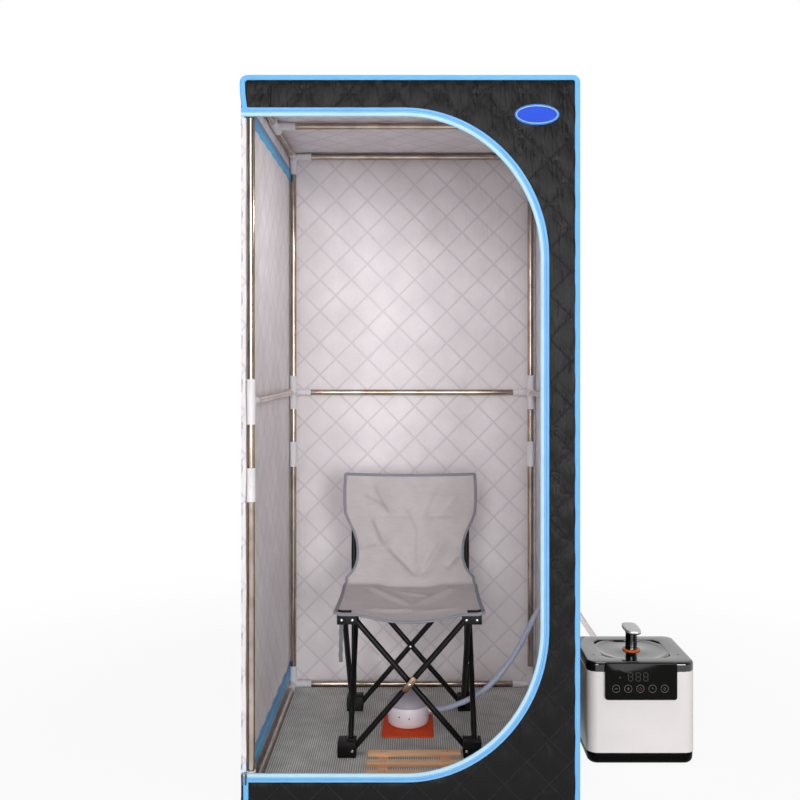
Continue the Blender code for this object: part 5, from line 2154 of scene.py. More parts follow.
        for tile in (
            Tile("seat_front_left", (0, first), (0, left), "bracket_front_left"),
            Tile("seat_front_right", (0, first), (right, end), "bracket_front_right"),
            Tile("seat_front_middle", (0, first), (left, right), "bracket_front_left", *sides),
            Tile("seat_left", (first, last), (0, left), "bracket_front_left", *depths),
            Tile("seat_right", (first, last), (right, end), "bracket_front_right", *depths),
            Tile("seat_centre_front", (first, halfway), (left, right), "bracket_front_left", *sides),
            Tile("seat_centre_rear", (halfway, last), (left, right), "bracket_rear_left", *sides),
            Tile("seat_rear_left", (last, bend), (0, left), "bracket_rear_left"),
            Tile("seat_rear_right", (last, bend), (right, end), "bracket_rear_right"),
            Tile("seat_rear_middle", (last, bend), (left, right), "bracket_rear_left", *sides),
            Tile("back_left", (bend, top), (0, left), "post_rear_left", *heights),
            Tile("back_right", (bend, top), (right, end), "post_rear_right", *heights),
            Tile("back_middle", (bend, top), (left, right), "post_rear_left", *sides),
        ):
            self.tile(tile, grid, normal)

    def tile(self, tile: Tile, grid: np.ndarray, normal: np.ndarray) -> None:
        """One tile of cloth with the hem that runs along it.

        Args:
            tile: The tile.
            grid: The whole cloth's points.
            normal: The whole cloth's normals.
        """
        (r0, r1), (c0, c1) = tile.rows, tile.columns
        part, way = grid[r0 : r1 + 1, c0 : c1 + 1], normal[r0 : r1 + 1, c0 : c1 + 1]
        count, width = part.shape[:2]
        size = count * width
        last_row, last_column = grid.shape[0] - 1, grid.shape[1] - 1
        faces, kinds = [], []
        for k in (0, 1):
            for i in range(count - 1):
                for j in range(width - 1):
                    at = k * size + i * width + j
                    quad = (at, at + 1, at + width + 1, at + width)
                    faces.append(quad if k == 0 else quad[::-1])
                    hemmed = r0 + i in (0, last_row - 1) or c0 + j in (0, last_column - 1)
                    kinds.append(1 if hemmed else 0)
        rim = [*range(width), *((i + 1) * width - 1 for i in range(1, count))]
        rim += [*range(size - 2, size - width - 1, -1), *(i * width for i in range(count - 2, 0, -1))]
        for a, b in zip(rim, [*rim[1:], rim[0]]):
            faces.append((a, b, b + size, a + size))
            kinds.append(1)
        over, under = part + way * self.cloth / 2, part - way * self.cloth / 2
        shape = Surface()
        shape.add([*over.reshape(-1, 3), *under.reshape(-1, 3)], faces)
        shape.kinds = kinds
        edges = [(c0 == 0, part[:, 0]), (c1 == last_column, part[:, -1])]
        for bound, edge in (*edges, (r0 == 0, part[0]), (r1 == last_row, part[-1])):
            if bound:
                shape.pipe([tuple(p) for p in edge], self.hem, 1, 10)
        if r0 == 0 and (c0 == 0 or c1 == last_column):
            cells = range(1, 8) if c0 == 0 else range(width - 8, width - 1)
            for row in (3, 4):
                shape.pipe([tuple(over[row, k]) for k in cells], 0.0038, 2, 10)
        mesh = shape.mesh(f"chair_{tile.name}", 50)
        smooth = [tuple(n.vector) for n in mesh.vertex_normals]
        smooth[: 2 * size] = [tuple(v) for v in np.concatenate([way.reshape(-1, 3), -way.reshape(-1, 3)])]
        mesh.normals_split_custom_set_from_vertices(smooth)
        finishes = [SEAT_CANVAS, SEAT_HEM, CHAIR_NYLON]
        obj = self.kit.piece(f"chair_{tile.name}", mesh, finishes, tile.body, Slot.CLOTH, ["chair_seat"])
        if tile.axis is not None:
            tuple(tile.axis)
            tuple(tile.anchor)
            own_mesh(obj)
        long = float(np.linalg.norm(np.diff(part, axis=0), axis=2).sum(axis=0).mean())
        wide = float(np.linalg.norm(np.diff(part, axis=1), axis=2).sum(axis=1).mean())

    def strap(self) -> None:
        """A short carrying strap that hangs from the left front bracket."""
        corner = self.corner("front_left")
        x, y, top = corner.x - 0.0145, corner.y - 0.0190, self.bracket_top - 0.0248
        rings = []
        for i in range(25):
            share = i / 24
            at_x = x - 0.0020 * share**1.5 + 0.0006 * math.sin(i * 0.9)
            at_y = y + 0.0015 * math.sin(i * 0.35)
            c, s = math.cos(0.35 * share), math.sin(0.35 * share)
            ring = []
            for u, v in ((-0.0055, 0.0006), (0.0055, 0.0006), (0.0055, -0.0006), (-0.0055, -0.0006)):
                ring.append((at_x + u * c + v * s, at_y + v * c - u * s, top - 0.105 * share))
            rings.append(ring)
        shape = Surface()
        shape.loft(rings)
        obj = self.kit.piece("chair_strap", shape, [STRAP], "bracket_front_left", Slot.CLOTH)


# Steamer shell: white ABS, satin.
SHELL_WHITE = Moulded("moulded_abs_white", "#e8e3e2", 0.34, grain_mm=0.6, relief=0.04, drift=0.02)
# Deck and lid: black ABS, polished enough to mirror a white room.
SHELL_BLACK = Moulded("moulded_abs_black", "#0f0f10", 0.10, grain_mm=2.5, relief=0.01, coat=0.4, ior=1.65)
# Base: the same plastic with a fine texture.
BASE_BLACK = Moulded("moulded_abs_base_black", "#050505", 0.34, grain_mm=0.8, relief=0.05, specular=0.04)
# Panel: dark glass.
PANEL_BLACK = Moulded("tinted_glass_panel", "#0c0c0b", 0.10, grain_mm=3.0, relief=0.005, drift=0.03, specular=0.07)
# Seal: bright orange silicone.
SEAL_ORANGE = Moulded("silicone_seal_orange", "#f0701c", 0.4, grain_mm=0.8)
# Handle top: the grip's top layer painted pale as a painted reflection of the white room.
GRIP_TOP_REFLECTION = Moulded("grip_top_painted_reflection", "#cfd1d0", 0.32, 0.35, 0.7, 0.08)
# Pot: deep-drawn stainless.
POT_STEEL = Moulded("deep_drawn_pot_steel", "#c9c7c2", 0.26, 1.0, 1.2, 0.08)
# Heater: cast aluminium.
HEATER_ALLOY = Moulded("cast_heater_aluminium", "#cfcfcf", 0.42, 1.0, 1.0, 0.1)
# Marks: inks behind the glass, dim until the steamer is on, with a faint painted glow.
FIGURE_DIM = Printed("printed_figure_dim", "#201f1e", 0.05)
KEY_GREY = Printed("printed_key_grey", "#6a6764", 0.12)
KEY_RED = Printed("printed_key_red", "#5a2c28", 0.12)


@dataclass
class Steamer:
    """The steamer beside the tent."""

    kit: Kit
    x: float = 0.6258
    y: float = -0.078
    width: float = 0.294
    depth: float = 0.250
    corner: float = 0.030
    least_corner: float = 0.004
    base_top: float = 0.032
    gap: float = 0.0003
    body_top: float = 0.2517
    deck_top: float = 0.278
    ledge: float = 0.264
    lid_z: float = 0.2666
    lid_r: float = 0.113
    recess_r: float = 0.1136
    throat_r: float = 0.0981
    pot_r: float = 0.0975
    pot_low: float = 0.100
    pot_top: float = 0.2663
    heater_r: float = 0.075
    outlet: tuple[float, float] = (0.603, 0.190)
    panel_box: tuple[float, float, float, float] = (0.5248, 0.7192, 0.179, 0.2788)
    panel_deep: float = 0.012
    panel_corner: float = 0.007
    figure_at: tuple[float, float] = (0.5925, 0.2425)
    figure_pitch: float = 0.0205
    lamp_at: tuple[float, float] = (0.5640, 0.2405)
    key_at: tuple[float, float] = (0.5536, 0.2105)
    key_pitch: float = 0.0327
    key_r: float = 0.0100
    grip_half: tuple[float, float] = (0.0215, 0.0465)

    def build(self) -> None:
        """Builds every piece of the steamer."""
        self.base()
        self.body()
        self.deck()
        self.inside()
        self.lid()
        self.panel()

    def ring(self, inset: float, z: float, steps: int = 10) -> list[Point]:
        """A rounded rectangle at a height.

        Args:
            inset: Distance that it is drawn in.
            z: Its height.
            steps: Points on each corner.

        Returns:
            Its points.
        """
        half = (self.width / 2 - inset, self.depth / 2 - inset)
        outline = rounded_box((self.x, self.y), half, max(self.corner - inset, self.least_corner), steps)
        return [(x, y, z) for x, y in outline]

    def circle(self, radius: float, z: float) -> list[Point]:
        """A circle with a point for each point of a rounded rectangle."""
        turns = [math.atan2(y - self.y, x - self.x) for x, y, _ in self.ring(0.0, 0.0)]
        return [(self.x + radius * math.cos(t), self.y + radius * math.sin(t), z) for t in turns]

    def base(self) -> None:
        """The black foot, drawn in under the shell."""
        top = self.base_top
        levels = [(0.018, 0.0), (0.010, 0.0015), (0.005, 0.006), (0.0025, 0.012), (0.0015, top - 0.002), (0.0025, top)]
        shape = Surface()
        shape.loft([self.ring(i, z) for i, z in levels])
        self.kit.piece("steamer_base_look", shape, [BASE_BLACK], CABIN, Slot.GLOSS, ["steamer_base"])

    def body(self) -> None:
        """The white shell with the steam outlet."""
        low, high = self.base_top + self.gap, self.body_top
        levels = [(0.003, low), (0.0, low), (-0.0002, low + 0.002), (0.0, low + 0.006), (0.0, high - 0.001)]
        levels += [(0.0008, high), (0.003, high), (0.003, low + 0.01)]
        shape = Surface()
        shape.loft([self.ring(i, z) for i, z in levels], closed=True)
        neck = [(0.0098, -0.018), (0.0098, 0.0), (0.0150, 0.0), (0.0150, 0.0025), (0.0105, 0.0040), (0.0098, 0.006)]
        neck += [(0.0098, 0.0165), (0.0090, 0.0182), (0.0060, 0.0184)]
        shape.turned((self.outlet[0], self.y + self.depth / 2 - 0.0005, self.outlet[1]), neck, (0, 1, 0))
        self.kit.piece("steamer_body_look", shape, [SHELL_WHITE], CABIN, Slot.SHELL, ["steamer_body"])

    def deck(self) -> None:
        """The black deck, rounded at its edge and stepped round the lid."""
        low, top = self.body_top + self.gap, self.deck_top
        levels = [(0.0010, low), (0.0002, low + 0.001), (0.0, low + 0.004), (0.0, top - 0.010)]
        for t in np.linspace(0, math.pi / 2, 7)[1:]:
            levels.append((0.0085 * (1 - math.cos(t)), top - 0.0085 + 0.0085 * math.sin(t)))
        r, throat = self.recess_r, self.throat_r
        steps = [(r + 0.004, top), (r + 0.0015, top - 0.0004), (r, top - 0.0018), (r, self.ledge), (throat, self.ledge)]
        rings = [self.ring(i, z) for i, z in levels]
        rings += [self.circle(radius, z) for radius, z in (*steps, (throat, low))]
        shape = Surface()
        shape.loft(rings, closed=True)
        for sx in (-1, 1):
            at = (self.x + sx * 0.118, self.y - 0.056, top - 0.0004)
            shape.turned(at, [(0.0034, 0), (0.0034, 0.0007), (0.0026, 0.0010), (0.0008, 0.0011)], sides=20)
        self.kit.piece("steamer_deck_look", shape, [SHELL_BLACK], CABIN, Slot.GLOSS, ["steamer_deck"])

    def inside(self) -> None:
        """The water pot and the heater under it."""
        at = (self.x, self.y, 0)
        r, w, low, top = self.pot_r, 0.0015, self.pot_low, self.pot_top
        profile = [(0.0004, low + w), (r - 0.010, low + w), (r - w - 0.002, low + 0.006), (r - w, low + 0.012)]
        profile += [(r - w, top), (0.1125, top), (0.1130, top - 0.001), (0.1125, top - 0.002), (r, top - 0.002)]
        profile += [(r, low + 0.011), (r - 0.002, low + 0.004), (r - 0.008, low), (0.0004, low)]
        pot = Surface()
        pot.turned(at, profile, sides=64)
        self.kit.piece("steamer_pot_look", pot, [POT_STEEL], CABIN, Slot.STAINLESS, ["steamer_pot"])
        h, z = self.heater_r, self.pot_low - 0.0138
        disc = Surface()
        edge = [(0.0004, z), (h - 0.001, z), (h, z + 0.001), (h, z + 0.0125), (h - 0.001, z + 0.0135)]
        disc.turned(at, [*edge, (0.0004, z + 0.0135)], sides=64)
        self.kit.piece("steamer_heater_look", disc, [HEATER_ALLOY], CABIN, Slot.ALUMINIUM, ["steamer_heater"])

    def lid(self) -> None:
        """The dished lid with its seal, stem and grip."""
        x, y, z, r = self.x, self.y, self.lid_z, self.lid_r
        profile = [(0.0004, z), (r - 0.001, z), (r, z + 0.001), (r, z + 0.0028), (r - 0.002, z + 0.0052)]
        profile += [(r - 0.006, z + 0.0082), (r - 0.011, z + 0.0095), (r - 0.017, z + 0.0094), (r - 0.024, z + 0.0076)]
        profile += [(r - 0.032, z + 0.0070), (0.024, z + 0.0070), (0.0195, z + 0.0082), (0.0175, z + 0.011)]
        profile += [(0.0165, z + 0.016), (0.0160, 0.315), (0.0165, 0.3285), (0.0004, 0.3285)]
        shape = Surface()
        shape.turned((x, y, 0), profile, sides=72)
        seal = [(0.0250, 0), (0.0250, 0.0040), (0.0225, 0.0050), (0.0178, 0.0046), (0.0178, 0)]
        shape.turned((x, y, z + 0.0072), seal, kind=1, sides=64)
        self.grip(shape, ((0.004, 0.3282), (0.0012, 0.3290), (0.0, 0.3305), (0.0, 0.3322), (0.0006, 0.3326)), 0)
        # The top layer is painted pale: a painted reflection of the white room.
        self.grip(shape, ((0.0006, 0.3326), (0.0, 0.3330), (0.0, 0.3376), (0.0012, 0.3394), (0.0045, 0.3400)), 2)
        finishes = [SHELL_BLACK, SEAL_ORANGE, GRIP_TOP_REFLECTION]
        self.kit.piece("steamer_lid_look", shape, finishes, "lid", Slot.GLOSS, ["steamer_lid"])

    def grip(self, shape: Surface, levels: Sequence[tuple[float, float]], kind: int) -> None:
        """One layer of the grip, a rounded bar.

        Args:
            shape: The surface that it is added to.
            levels: How far it is drawn in at each height.
            kind: Material number.
        """
        rings = []
        for inset, height in levels:
            a, b = (half - inset for half in self.grip_half)
            ring = []
            for t in around(64):
                c, s = math.cos(t), math.sin(t)
                px, py = a * math.copysign(abs(c) ** 0.5, c), b * math.copysign(abs(s) ** 0.5, s)
                ring.append((self.x + px, self.y + py, height))
            rings.append(ring)
        shape.loft(rings, kind)

    def panel(self) -> None:
        """The touch panel, with its unlit figures, lamp and ring keys, which have a faint painted glow."""
        left, right, low, high = self.panel_box
        back = self.y - self.depth / 2 - self.gap
        face = back - self.panel_deep
        centre, w, h = ((left + right) / 2, (low + high) / 2), (right - left) / 2, (high - low) / 2

        def ring(inset: float, y: float) -> list[Point]:
            """The panel's outline at a depth."""
            outline = rounded_box(centre, (w - inset, h - inset), self.panel_corner - inset * 0.5, 6)
            return [(x, y, z) for x, z in outline]

        levels = ((0.001, back), (0.0, back - 0.001), (0.0, face + 0.002), (0.0006, face + 0.0006), (0.002, face))
        shape = Surface()
        shape.loft([ring(inset, y) for inset, y in levels])
        y = face - 0.00012
        for i in range(3):
            self.figure(shape, self.figure_at[0] + self.figure_pitch * i, self.figure_at[1], y, 1)
        lamp = [(0.0024, 0), (0.0024, 0.0004), (0.0010, 0.0006)]
        shape.turned((self.lamp_at[0], face + 0.0002, self.lamp_at[1]), lamp, (0, -1, 0), 1, 24)
        keys = [(self.key_at[0] + self.key_pitch * i, self.key_at[1]) for i in range(5)]
        for i, (x, z) in enumerate(keys):
            self.icon(shape, i, x, z, y, 3 if i == 2 else 2)
        finishes = [PANEL_BLACK, FIGURE_DIM, KEY_GREY, KEY_RED]
        self.kit.piece("steamer_keypad_look", shape, finishes, CABIN, Slot.GLOSS, ["steamer_keypad"])
        r, turns = self.key_r, [*around(48), 0.0]
        rings = [[(x + r * math.cos(t), face, z + r * math.sin(t)) for t in turns] for x, z in keys]
        mesh = piped("steamer_key_rings", rings, 0.0006, KEY_GREY, 8)
        self.kit.piece("steamer_key_rings", mesh, [], CABIN, Slot.GLOSS)

    @staticmethod
    def mark(shape: Surface, x: float, z: float, w: float, h: float, y: float, kind: int) -> None:
        """A thin printed bar of a width and height about a middle."""
        shape.block((x - w / 2, y - 0.0001, z - h / 2), (x + w / 2, y + 0.0004, z + h / 2), 0.00004, kind, steps=1)

    def figure(self, shape: Surface, x: float, z: float, y: float, kind: int) -> None:
        """Seven bars of an unlit figure.

        Args:
            shape: The surface that they are added to.
            x: Middle across.
            z: Middle height.
            y: Depth of the panel's face.
            kind: Material number.
        """
        for dz in (-0.011, 0.0, 0.011):
            self.mark(shape, x, z + dz, 0.0085, 0.0020, y, kind)
        for dx in (-0.0058, 0.0058):
            for dz in (-0.0055, 0.0055):
                self.mark(shape, x + dx, z + dz, 0.0020, 0.0080, y, kind)

    def icon(self, shape: Surface, i: int, x: float, z: float, y: float, kind: int) -> None:
        """A plain mark on a key: minus, plus, power, hands or drop.

        Args:
            shape: The surface that it is added to.
            i: Number of the key.
            x: Middle across.
            z: Middle height.
            y: Depth of the panel's face.
            kind: Material number.
        """
        if i in (0, 1):
            self.mark(shape, x, z, 0.0080, 0.0012, y, kind)
        if i == 1:
            self.mark(shape, x, z, 0.0012, 0.0080, y, kind)
        if i == 2:
            self.mark(shape, x, z + 0.0028, 0.0012, 0.0050, y, kind)
            arc = np.linspace(0.7, 2 * math.pi - 0.7, 20)
            shape.pipe([(x + 0.0042 * math.sin(t), y, z + 0.0042 * math.cos(t)) for t in arc], 0.0005, kind, 6)
        if i == 3:
            self.mark(shape, x, z + 0.0018, 0.0010, 0.0044, y, kind)
            self.mark(shape, x + 0.0016, z, 0.0036, 0.0010, y, kind)
        if i == 4:
            arc = np.linspace(0.2, 2 * math.pi - 0.2, 24)
            drop = [(x + 0.003 * math.sin(t) * math.sin(t / 2), y, z + 0.004 * math.cos(t)) for t in arc]
            shape.pipe(drop, 0.0005, kind, 6)


# Hose: milky silicone, painted lavender as shade in the tent and paler as light beside it.
HOSE_SILICONE = Silicone("extruded_silicone_hose", "#c6d1e8", "#f0e4e2", 0.42)
# Cup: white polypropylene with a cool cast.
CUP_WHITE = Moulded("moulded_polypropylene_cup", "#f8f0f8", 0.34, grain_mm=0.7, relief=0.04, drift=0.03)
# Vents: small dark dots on the cup, painted shade that stands in for pinholes.
CUP_VENT_SHADE = Moulded("cup_vent_painted_shade", "#57525c", 0.5)
# Cap: the same plastic in grey.
CAP_GREY = Moulded("moulded_polypropylene_cap", "#aea8b4", 0.5, grain_mm=0.8, relief=0.05)
# Pad: bright orange felt, softly fibrous.
PAD_FELT = Moulded("pressed_felt_orange", "#e84a10", 0.7, grain_mm=1.5, relief=0.25, drift=0.09)


@dataclass
class SteamPath:
    """The hose, the diffuser cup with its cap, and the pad under them."""

    kit: Kit
    hose_r: float = 0.008
    hose_length: float = 0.83
    cup_x: float = -0.0097
    cup_y: float = 0.072
    cup_low: float = 0.0106
    cup_r: float = 0.061
    cup_high: float = 0.058
    inlet_z: float = 0.0485
    cap_rise: float = 0.034
    wall: float = 0.002
    pad_x: float = -0.011
    pad_y: float = 0.053
    pad_half: tuple[float, float] = (0.0755, 0.085)
    pad_low: float = 0.0053
    pad_top: float = 0.0103
    route: tuple[tuple[float, float, float], ...] = (
        (0.6030, 0.0660, 0.1900),
        (0.6030, 0.0779, 0.1901),
        (0.6011, 0.0976, 0.1926),
        (0.5938, 0.1216, 0.2027),
        (0.5814, 0.1395, 0.2200),
        (0.5645, 0.1492, 0.2430),
        (0.5440, 0.1510, 0.2725),
        (0.5210, 0.1465, 0.3075),
        (0.4970, 0.1390, 0.3420),
        (0.4708, 0.1303, 0.3644),
        (0.4408, 0.1203, 0.3712),
        (0.4111, 0.1102, 0.3631),
        (0.3873, 0.1024, 0.3424),
        (0.3699, 0.0975, 0.3153),
        (0.3548, 0.0939, 0.2865),
        (0.3396, 0.0907, 0.2578),
        (0.3235, 0.0878, 0.2295),
        (0.3060, 0.0853, 0.2020),
        (0.2870, 0.0829, 0.1756),
        (0.2663, 0.0808, 0.1503),
        (0.2437, 0.0789, 0.1269),
        (0.2188, 0.0772, 0.1059),
        (0.1915, 0.0756, 0.0879),
        (0.1624, 0.0743, 0.0732),
        (0.1319, 0.0733, 0.0616),
        (0.0985, 0.0724, 0.0512),
        (0.0681, 0.0720, 0.0485),
    )

    def build(self) -> None:
        """Builds every piece of the steam path."""
        self.hose()
        self.cup()
        self.cap()
        self.pad()

    def smooth_route(self, samples: int = 8) -> list[Point]:
        """Points on a smooth curve through the route's own points.

        Args:
            samples: Points for each stretch of the route.

        Returns:
            The points.
        """
        places = [Vector(p) for p in self.route]
        padded = [2 * places[0] - places[1], *places, 2 * places[-1] - places[-2]]
        made = []
        for a, b, c, d in zip(padded, padded[1:], padded[2:], padded[3:]):
            for i in range(samples):
                t = i / samples
                bend = (2 * a - 5 * b + 4 * c - d) * t * t + (3 * b - a - 3 * c + d) * t * t * t
                made.append(tuple((2 * b + (c - a) * t + bend) / 2))
        made.append(tuple(places[-1]))
        return made

    def hose(self) -> None:
        """The hose from the steamer's outlet through the wall to the cup."""
        route = self.smooth_route()
        mesh = piped("steam_hose_tube", [route], self.hose_r, HOSE_SILICONE, 24)
        obj = self.kit.piece("steam_hose_tube", mesh, [], CABIN, Slot.HOSE, ["steam_hose"])
        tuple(self.route[0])

    def cup(self) -> None:
        """The white cup with its inlet and vents."""
        x, y, low, r, high, w = self.cup_x, self.cup_y, self.cup_low, self.cup_r, self.cup_high, self.wall
        profile = [(0.0004, w), (r - 2 * w, w), (r - w, 2 * w), (r - w, high - 0.0005), (r - 0.0012, high)]
        profile += [(r - 0.0005, high), (r, high - 0.001), (r, 0.012), (r - 0.001, 0.006), (r - 0.004, 0.0018)]
        shape = Surface()
        shape.turned((x, y, low), [*profile, (r - 0.009, 0.0), (0.0004, 0.0)], sides=72)
        neck = [(0.0075, 0), (0.0075, 0.012), (0.0082, 0.0125), (0.0082, 0.0145), (0.0070, 0.0158), (0.0040, 0.016)]
        shape.turned((x + r, y, self.inlet_z), neck, (1, 0, 0), sides=32)
        # Each vent is a small dome painted dark: painted shade for a pinhole.
        for dx, z in ((-0.026, 0.0455), (0.003, 0.0425)):
            out = Vector((dx, -math.sqrt((r - 0.0002) ** 2 - dx**2), 0))
            shape.turned((x + dx, y + out.y, z), [(0.0022, -0.001), (0.0022, 0.0003), (0.0008, 0.0005)], out, 1, 16)
        self.kit.piece("diffuser_cup_look", shape, [CUP_WHITE, CUP_VENT_SHADE], CABIN, Slot.CUP, ["diffuser_cup"])

    def cap(self) -> None:
        """The domed grey cap."""
        r, w, rise = self.cup_r, self.wall, self.cap_rise
        angles = np.linspace(0, math.pi / 2, 18)
        outer = [(max((r - 0.0002) * math.cos(t), 0.0006), w + (rise - w) * math.sin(t) ** 0.92) for t in angles]
        inner = [(max((r - w) * math.cos(t), 0.0006), w + (rise - 2 * w) * math.sin(t)) for t in angles[::-1]]
        shape = Surface()
        base = (self.cup_x, self.cup_y, self.cup_low + self.cup_high + 0.0003)
        shape.turned(base, [(r - w, 0.0), (r - 0.0002, 0.0), *outer, *inner], sides=72, closed=True)
        self.kit.piece("diffuser_cap_look", shape, [CAP_GREY], "cap", Slot.CAP, ["diffuser_cap"])

    def pad(self) -> None:
        """A soft slab whose front edge waves a little."""
        (w, d), low, top = self.pad_half, self.pad_low, self.pad_top
        steps, front = 5, []
        outline = rounded_box((0.0, 0.0), (w, d), 0.005, steps)
        for k in range(1, 30):
            u = -w + 0.005 + (2 * w - 0.01) * k / 30
            front.append((u, -d + 0.0012 * math.sin(u * 95) * math.sin(math.pi * k / 30)))
        before = 3 * (steps + 1)
        outline[before:before] = front
        rings = []
        for shrink, z in ((0.994, low), (1.0, low + 0.001), (1.0, top - 0.0014), (0.996, top - 0.0004), (0.985, top)):
            ring = []
            for u, v in outline:
                wave = abs(0.0008 * math.sin(u * 70)) if v < -d + 0.012 and z > low + 0.002 else 0.0
                ring.append((self.pad_x + u * shrink, self.pad_y + v * shrink, z - wave))
            rings.append(ring)
        shape = Surface()
        shape.loft(rings)
        obj = self.kit.piece("heat_pad_look", shape, [PAD_FELT], CABIN, Slot.PAD, ["heat_pad"])


# Footboard: planed pine, oiled.
BOARD_PINE = PlanedPine("planed_pine", "#fcd0a8", "#e8b388")
# Screws: brassed steel.
BOARD_SCREW = Moulded("brassed_screw", "#b9a58e", 0.35, 0.9, 0.6, 0.05)


@dataclass
class Footboard:
    """The slatted footboard."""

    kit: Kit
    x: float = 0.009
    front: float = -0.34185
    half: float = 0.126
    low: float = 0.0053
    slat_z: float = 0.0263
    slat: float = 0.0099
    slat_width: float = 0.028
    pitch: float = 0.0625
    count: int = 3
    batten: float = 0.028
    spread: float = 0.083

    def build(self) -> None:
        """Builds the slats, the battens and their screws."""
        shape = Surface()
        top = self.slat_z + self.slat
        for i in range(self.count):
            y = self.front + self.pitch * i
            low, high = (self.x - self.half, y, self.slat_z), (self.x + self.half, y + self.slat_width, top)
            shape.block(low, high, 0.0018, steps=3)
        rear = self.front + self.pitch * (self.count - 1) + self.slat_width
        for s in (-1, 1):
            cx, w = self.x + s * self.spread, self.batten / 2
            low, high = (cx - w, self.front + 0.0004, self.low), (cx + w, rear - 0.0004, self.slat_z + 0.0004)
            shape.block(low, high, 0.0012)
        self.kit.piece("footboard_look", shape, [BOARD_PINE], CABIN, Slot.PINE, ["footboard"])
        points = []
        for i in range(self.count):
            y = self.front + self.pitch * i + self.slat_width / 2
            points += [(self.x + s * self.spread + dx, y, top) for s in (-1, 1) for dx in (-0.006, 0.006)]
        turns = [(0, 0, 0)] * len(points)
        mesh = scattered("footboard_screws", points, turns, Grain.BEAD, (0.0052, 0.0052, 0.0008), BOARD_SCREW)
        self.kit.piece("footboard_screws", mesh, [], CABIN, Slot.PINE)


@dataclass(frozen=True)
class Lamp:
    """A square lamp.

    Attributes:
        name: Its name.
        place: Where it stands.
        aim: What it points at.
        size: Length of its sides.
        power: Its power in watts.
        spread: Angle that its light fills, in degrees.
    """

    name: str
    place: tuple[float, float, float]
    aim: tuple[float, float, float]
    size: float
    power: float
    spread: float = 180


# Lamps: large soft ones in front and above, and a small one behind the front panel for the left wall.
LAMPS = (
    Lamp("key", (-1.2, -11.0, 2.9), (0.0, 0.2, 0.9), 5.4, 520),
    Lamp("fill", (3.6, -10.2, 1.5), (0.0, 0.2, 0.9), 2.8, 310),
    Lamp("top", (0.4, -0.9, 4.4), (0.2, 0.0, 0.0), 2.6, 52),
    Lamp("inner", (0.34, -0.28, 1.58), (-0.42, -0.12, 1.42), 0.08, 0.31, 70),
)


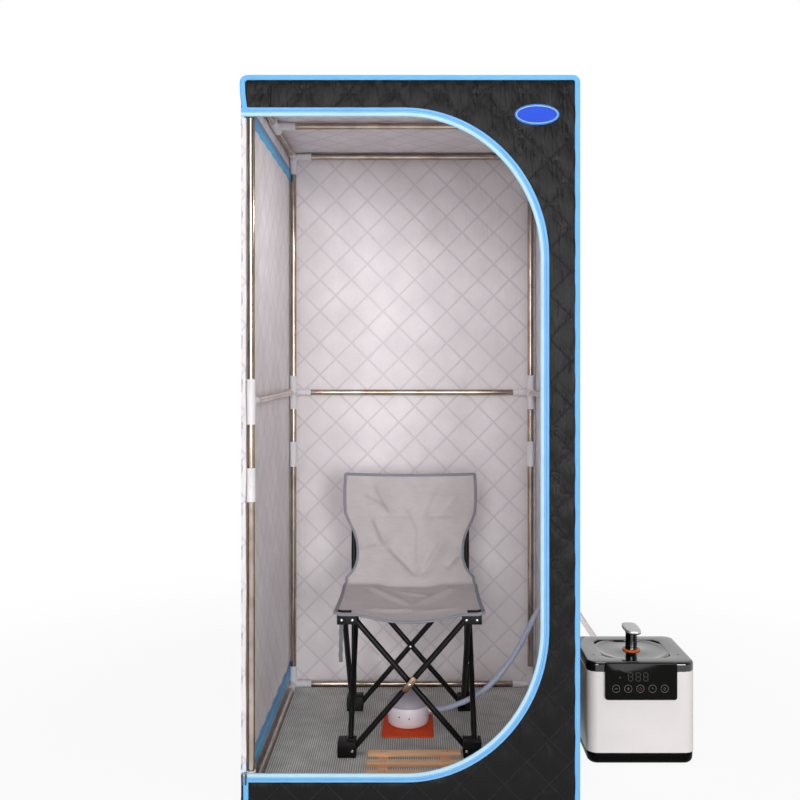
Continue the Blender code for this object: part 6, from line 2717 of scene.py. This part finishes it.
@dataclass
class Studio:
    """The floor, lights, world and camera."""

    camera_place: tuple[float, float, float] = (0.0136, -2.728, 1.0839)
    focal_px: float = 931.4
    centre_px: tuple[float, float] = (416.0, 365.0)
    width_px: float = 800.0
    sensor: float = 36.0
    ambient: float = 0.15
    floor_white: float = 0.92

    def build(self) -> None:
        """Sets the scene up round the object."""
        self.camera()
        self.floor()
        self.world()
        self.lights()
        bpy.context.scene.view_settings.view_transform = "Standard"

    def camera(self) -> None:
        """The photograph's camera: it looks straight along +Y, with the lens shifted."""
        data = bpy.data.cameras.new("camera")
        data.sensor_fit = "HORIZONTAL"
        data.sensor_width = self.sensor
        data.lens = self.sensor * self.focal_px / self.width_px
        half = self.width_px / 2
        data.shift_x = (half - self.centre_px[0]) / self.width_px
        data.shift_y = (self.centre_px[1] - half) / self.width_px
        data.clip_end = 100
        obj = bpy.data.objects.new("camera", data)
        obj.location = self.camera_place
        obj.rotation_euler = (math.pi / 2, 0, 0)
        bpy.context.scene.collection.objects.link(obj)
        bpy.context.scene.camera = obj

    def floor(self) -> None:
        """A pale floor that the camera sees as nearly white, with the object's shadow on it."""
        mesh = bpy.data.meshes.new("floor")
        mesh.from_pydata([(-30, -12, 0), (30, -12, 0), (30, 60, 0), (-30, 60, 0)], [], [(0, 1, 2, 3)])
        obj = bpy.data.objects.new("floor", mesh)
        obj.location = (0, 0, -0.0015)
        bpy.context.scene.collection.objects.link(obj)
        made = bpy.data.materials.new("painted_floor_white")
        made.use_nodes = True
        tree = made.node_tree
        shader = tree.nodes["Principled BSDF"]
        feed(tree, shader, {"Base Color": linear("#f4f4f4"), "Roughness": 0.9, "Specular IOR Level": 0.0})
        seen, glossy = add(tree, LIGHT_PATH, out="Is Camera Ray"), add(tree, LIGHT_PATH, out="Is Glossy Ray")
        seen = add(tree, MATH, {0: seen, 1: glossy}, operation="MAXIMUM")
        away = add(tree, "ShaderNodeVectorMath", {0: add(tree, PLACE, out="Object")}, "Value", operation="LENGTH")
        pale = {0: away, 1: 0.9, 2: 2.6, 3: self.floor_white, 4: 1.0}
        pale = add(tree, RANGE, pale, interpolation_type="SMOOTHSTEP")
        share = add(tree, MATH, {0: seen, 1: pale}, operation="MULTIPLY")
        white = add(tree, "ShaderNodeEmission", {"Color": (1, 1, 1, 1), "Strength": 1.0})
        mixed = add(tree, "ShaderNodeMixShader", {0: share, 1: shader.outputs[0], 2: white})
        tree.links.new(mixed, tree.nodes["Material Output"].inputs["Surface"])
        mesh.materials.append(made)
        obj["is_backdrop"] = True

    def world(self) -> None:
        """Plain soft light; the background is white, and a darker room lies in front for polished metal."""
        world = bpy.data.worlds.new("studio")
        bpy.context.scene.world = world
        world.use_nodes = True
        tree = world.node_tree
        tree.nodes.clear()
        depth = add(tree, SPLIT, {0: add(tree, PLACE, out="Generated")}, 1)
        ahead = add(tree, RANGE, {0: depth, 1: -0.55, 2: 0.05}, interpolation_type="SMOOTHSTEP")
        room = add(tree, MIX, {0: ahead, 6: linear("#6f6157"), 7: (1, 1, 1, 1)}, 2, data_type="RGBA")
        soft = add(tree, "ShaderNodeBackground", {"Color": (1.0, 0.995, 0.99, 1.0), "Strength": self.ambient})
        mirror = add(tree, "ShaderNodeBackground", {"Color": room, "Strength": 1.0})
        white = add(tree, "ShaderNodeBackground", {"Color": (1, 1, 1, 1), "Strength": 1.0})
        glossy, through = add(tree, LIGHT_PATH, out="Is Glossy Ray"), add(tree, LIGHT_PATH, out="Is Transmission Ray")
        first = add(tree, "ShaderNodeMixShader", {0: glossy, 1: soft, 2: mirror})
        seen = add(tree, MATH, {0: add(tree, LIGHT_PATH, out="Is Camera Ray"), 1: through}, operation="MAXIMUM")
        both = add(tree, "ShaderNodeMixShader", {0: seen, 1: first, 2: white})
        out = tree.nodes.new("ShaderNodeOutputWorld")
        tree.links.new(both, out.inputs["Surface"])

    def lights(self) -> None:
        """Sets the lamps up; the camera doesn't see them."""
        for lamp in LAMPS:
            data = bpy.data.lights.new(lamp.name, "AREA")
            data.size, data.energy, data.spread = lamp.size, lamp.power, math.radians(lamp.spread)
            obj = bpy.data.objects.new(lamp.name, data)
            obj.visible_camera = False
            obj.location = lamp.place
            obj.rotation_euler = (Vector(lamp.aim) - Vector(lamp.place)).to_track_quat("-Z", "Y").to_euler()
            bpy.context.scene.collection.objects.link(obj)


def note_sizes(solids: Sequence[Point]) -> None:
    """Puts the solids' box and the looks' box side by side.

    Args:
        solids: The solids' lowest and highest corner.
    """
    boxes = {"cad": solids, "visual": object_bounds()}
    plain = {name: [[float(v) for v in corner] for corner in box] for name, box in boxes.items()}


def main() -> None:
    """Builds the looks of the whole sauna."""
    logging.basicConfig(level=logging.INFO)
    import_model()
    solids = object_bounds()
    kit = Kit()
    Studio().build()
    for part in (SteamPath(kit), Cover(kit), Frame(kit), FoldingChair(kit), Steamer(kit), Footboard(kit)):
        part.build()
        LOG.info("built %s", type(part).__name__)
    LOG.info("%d pieces", kit.count)
    note_sizes(solids)


if __name__ == "__main__":
    main()
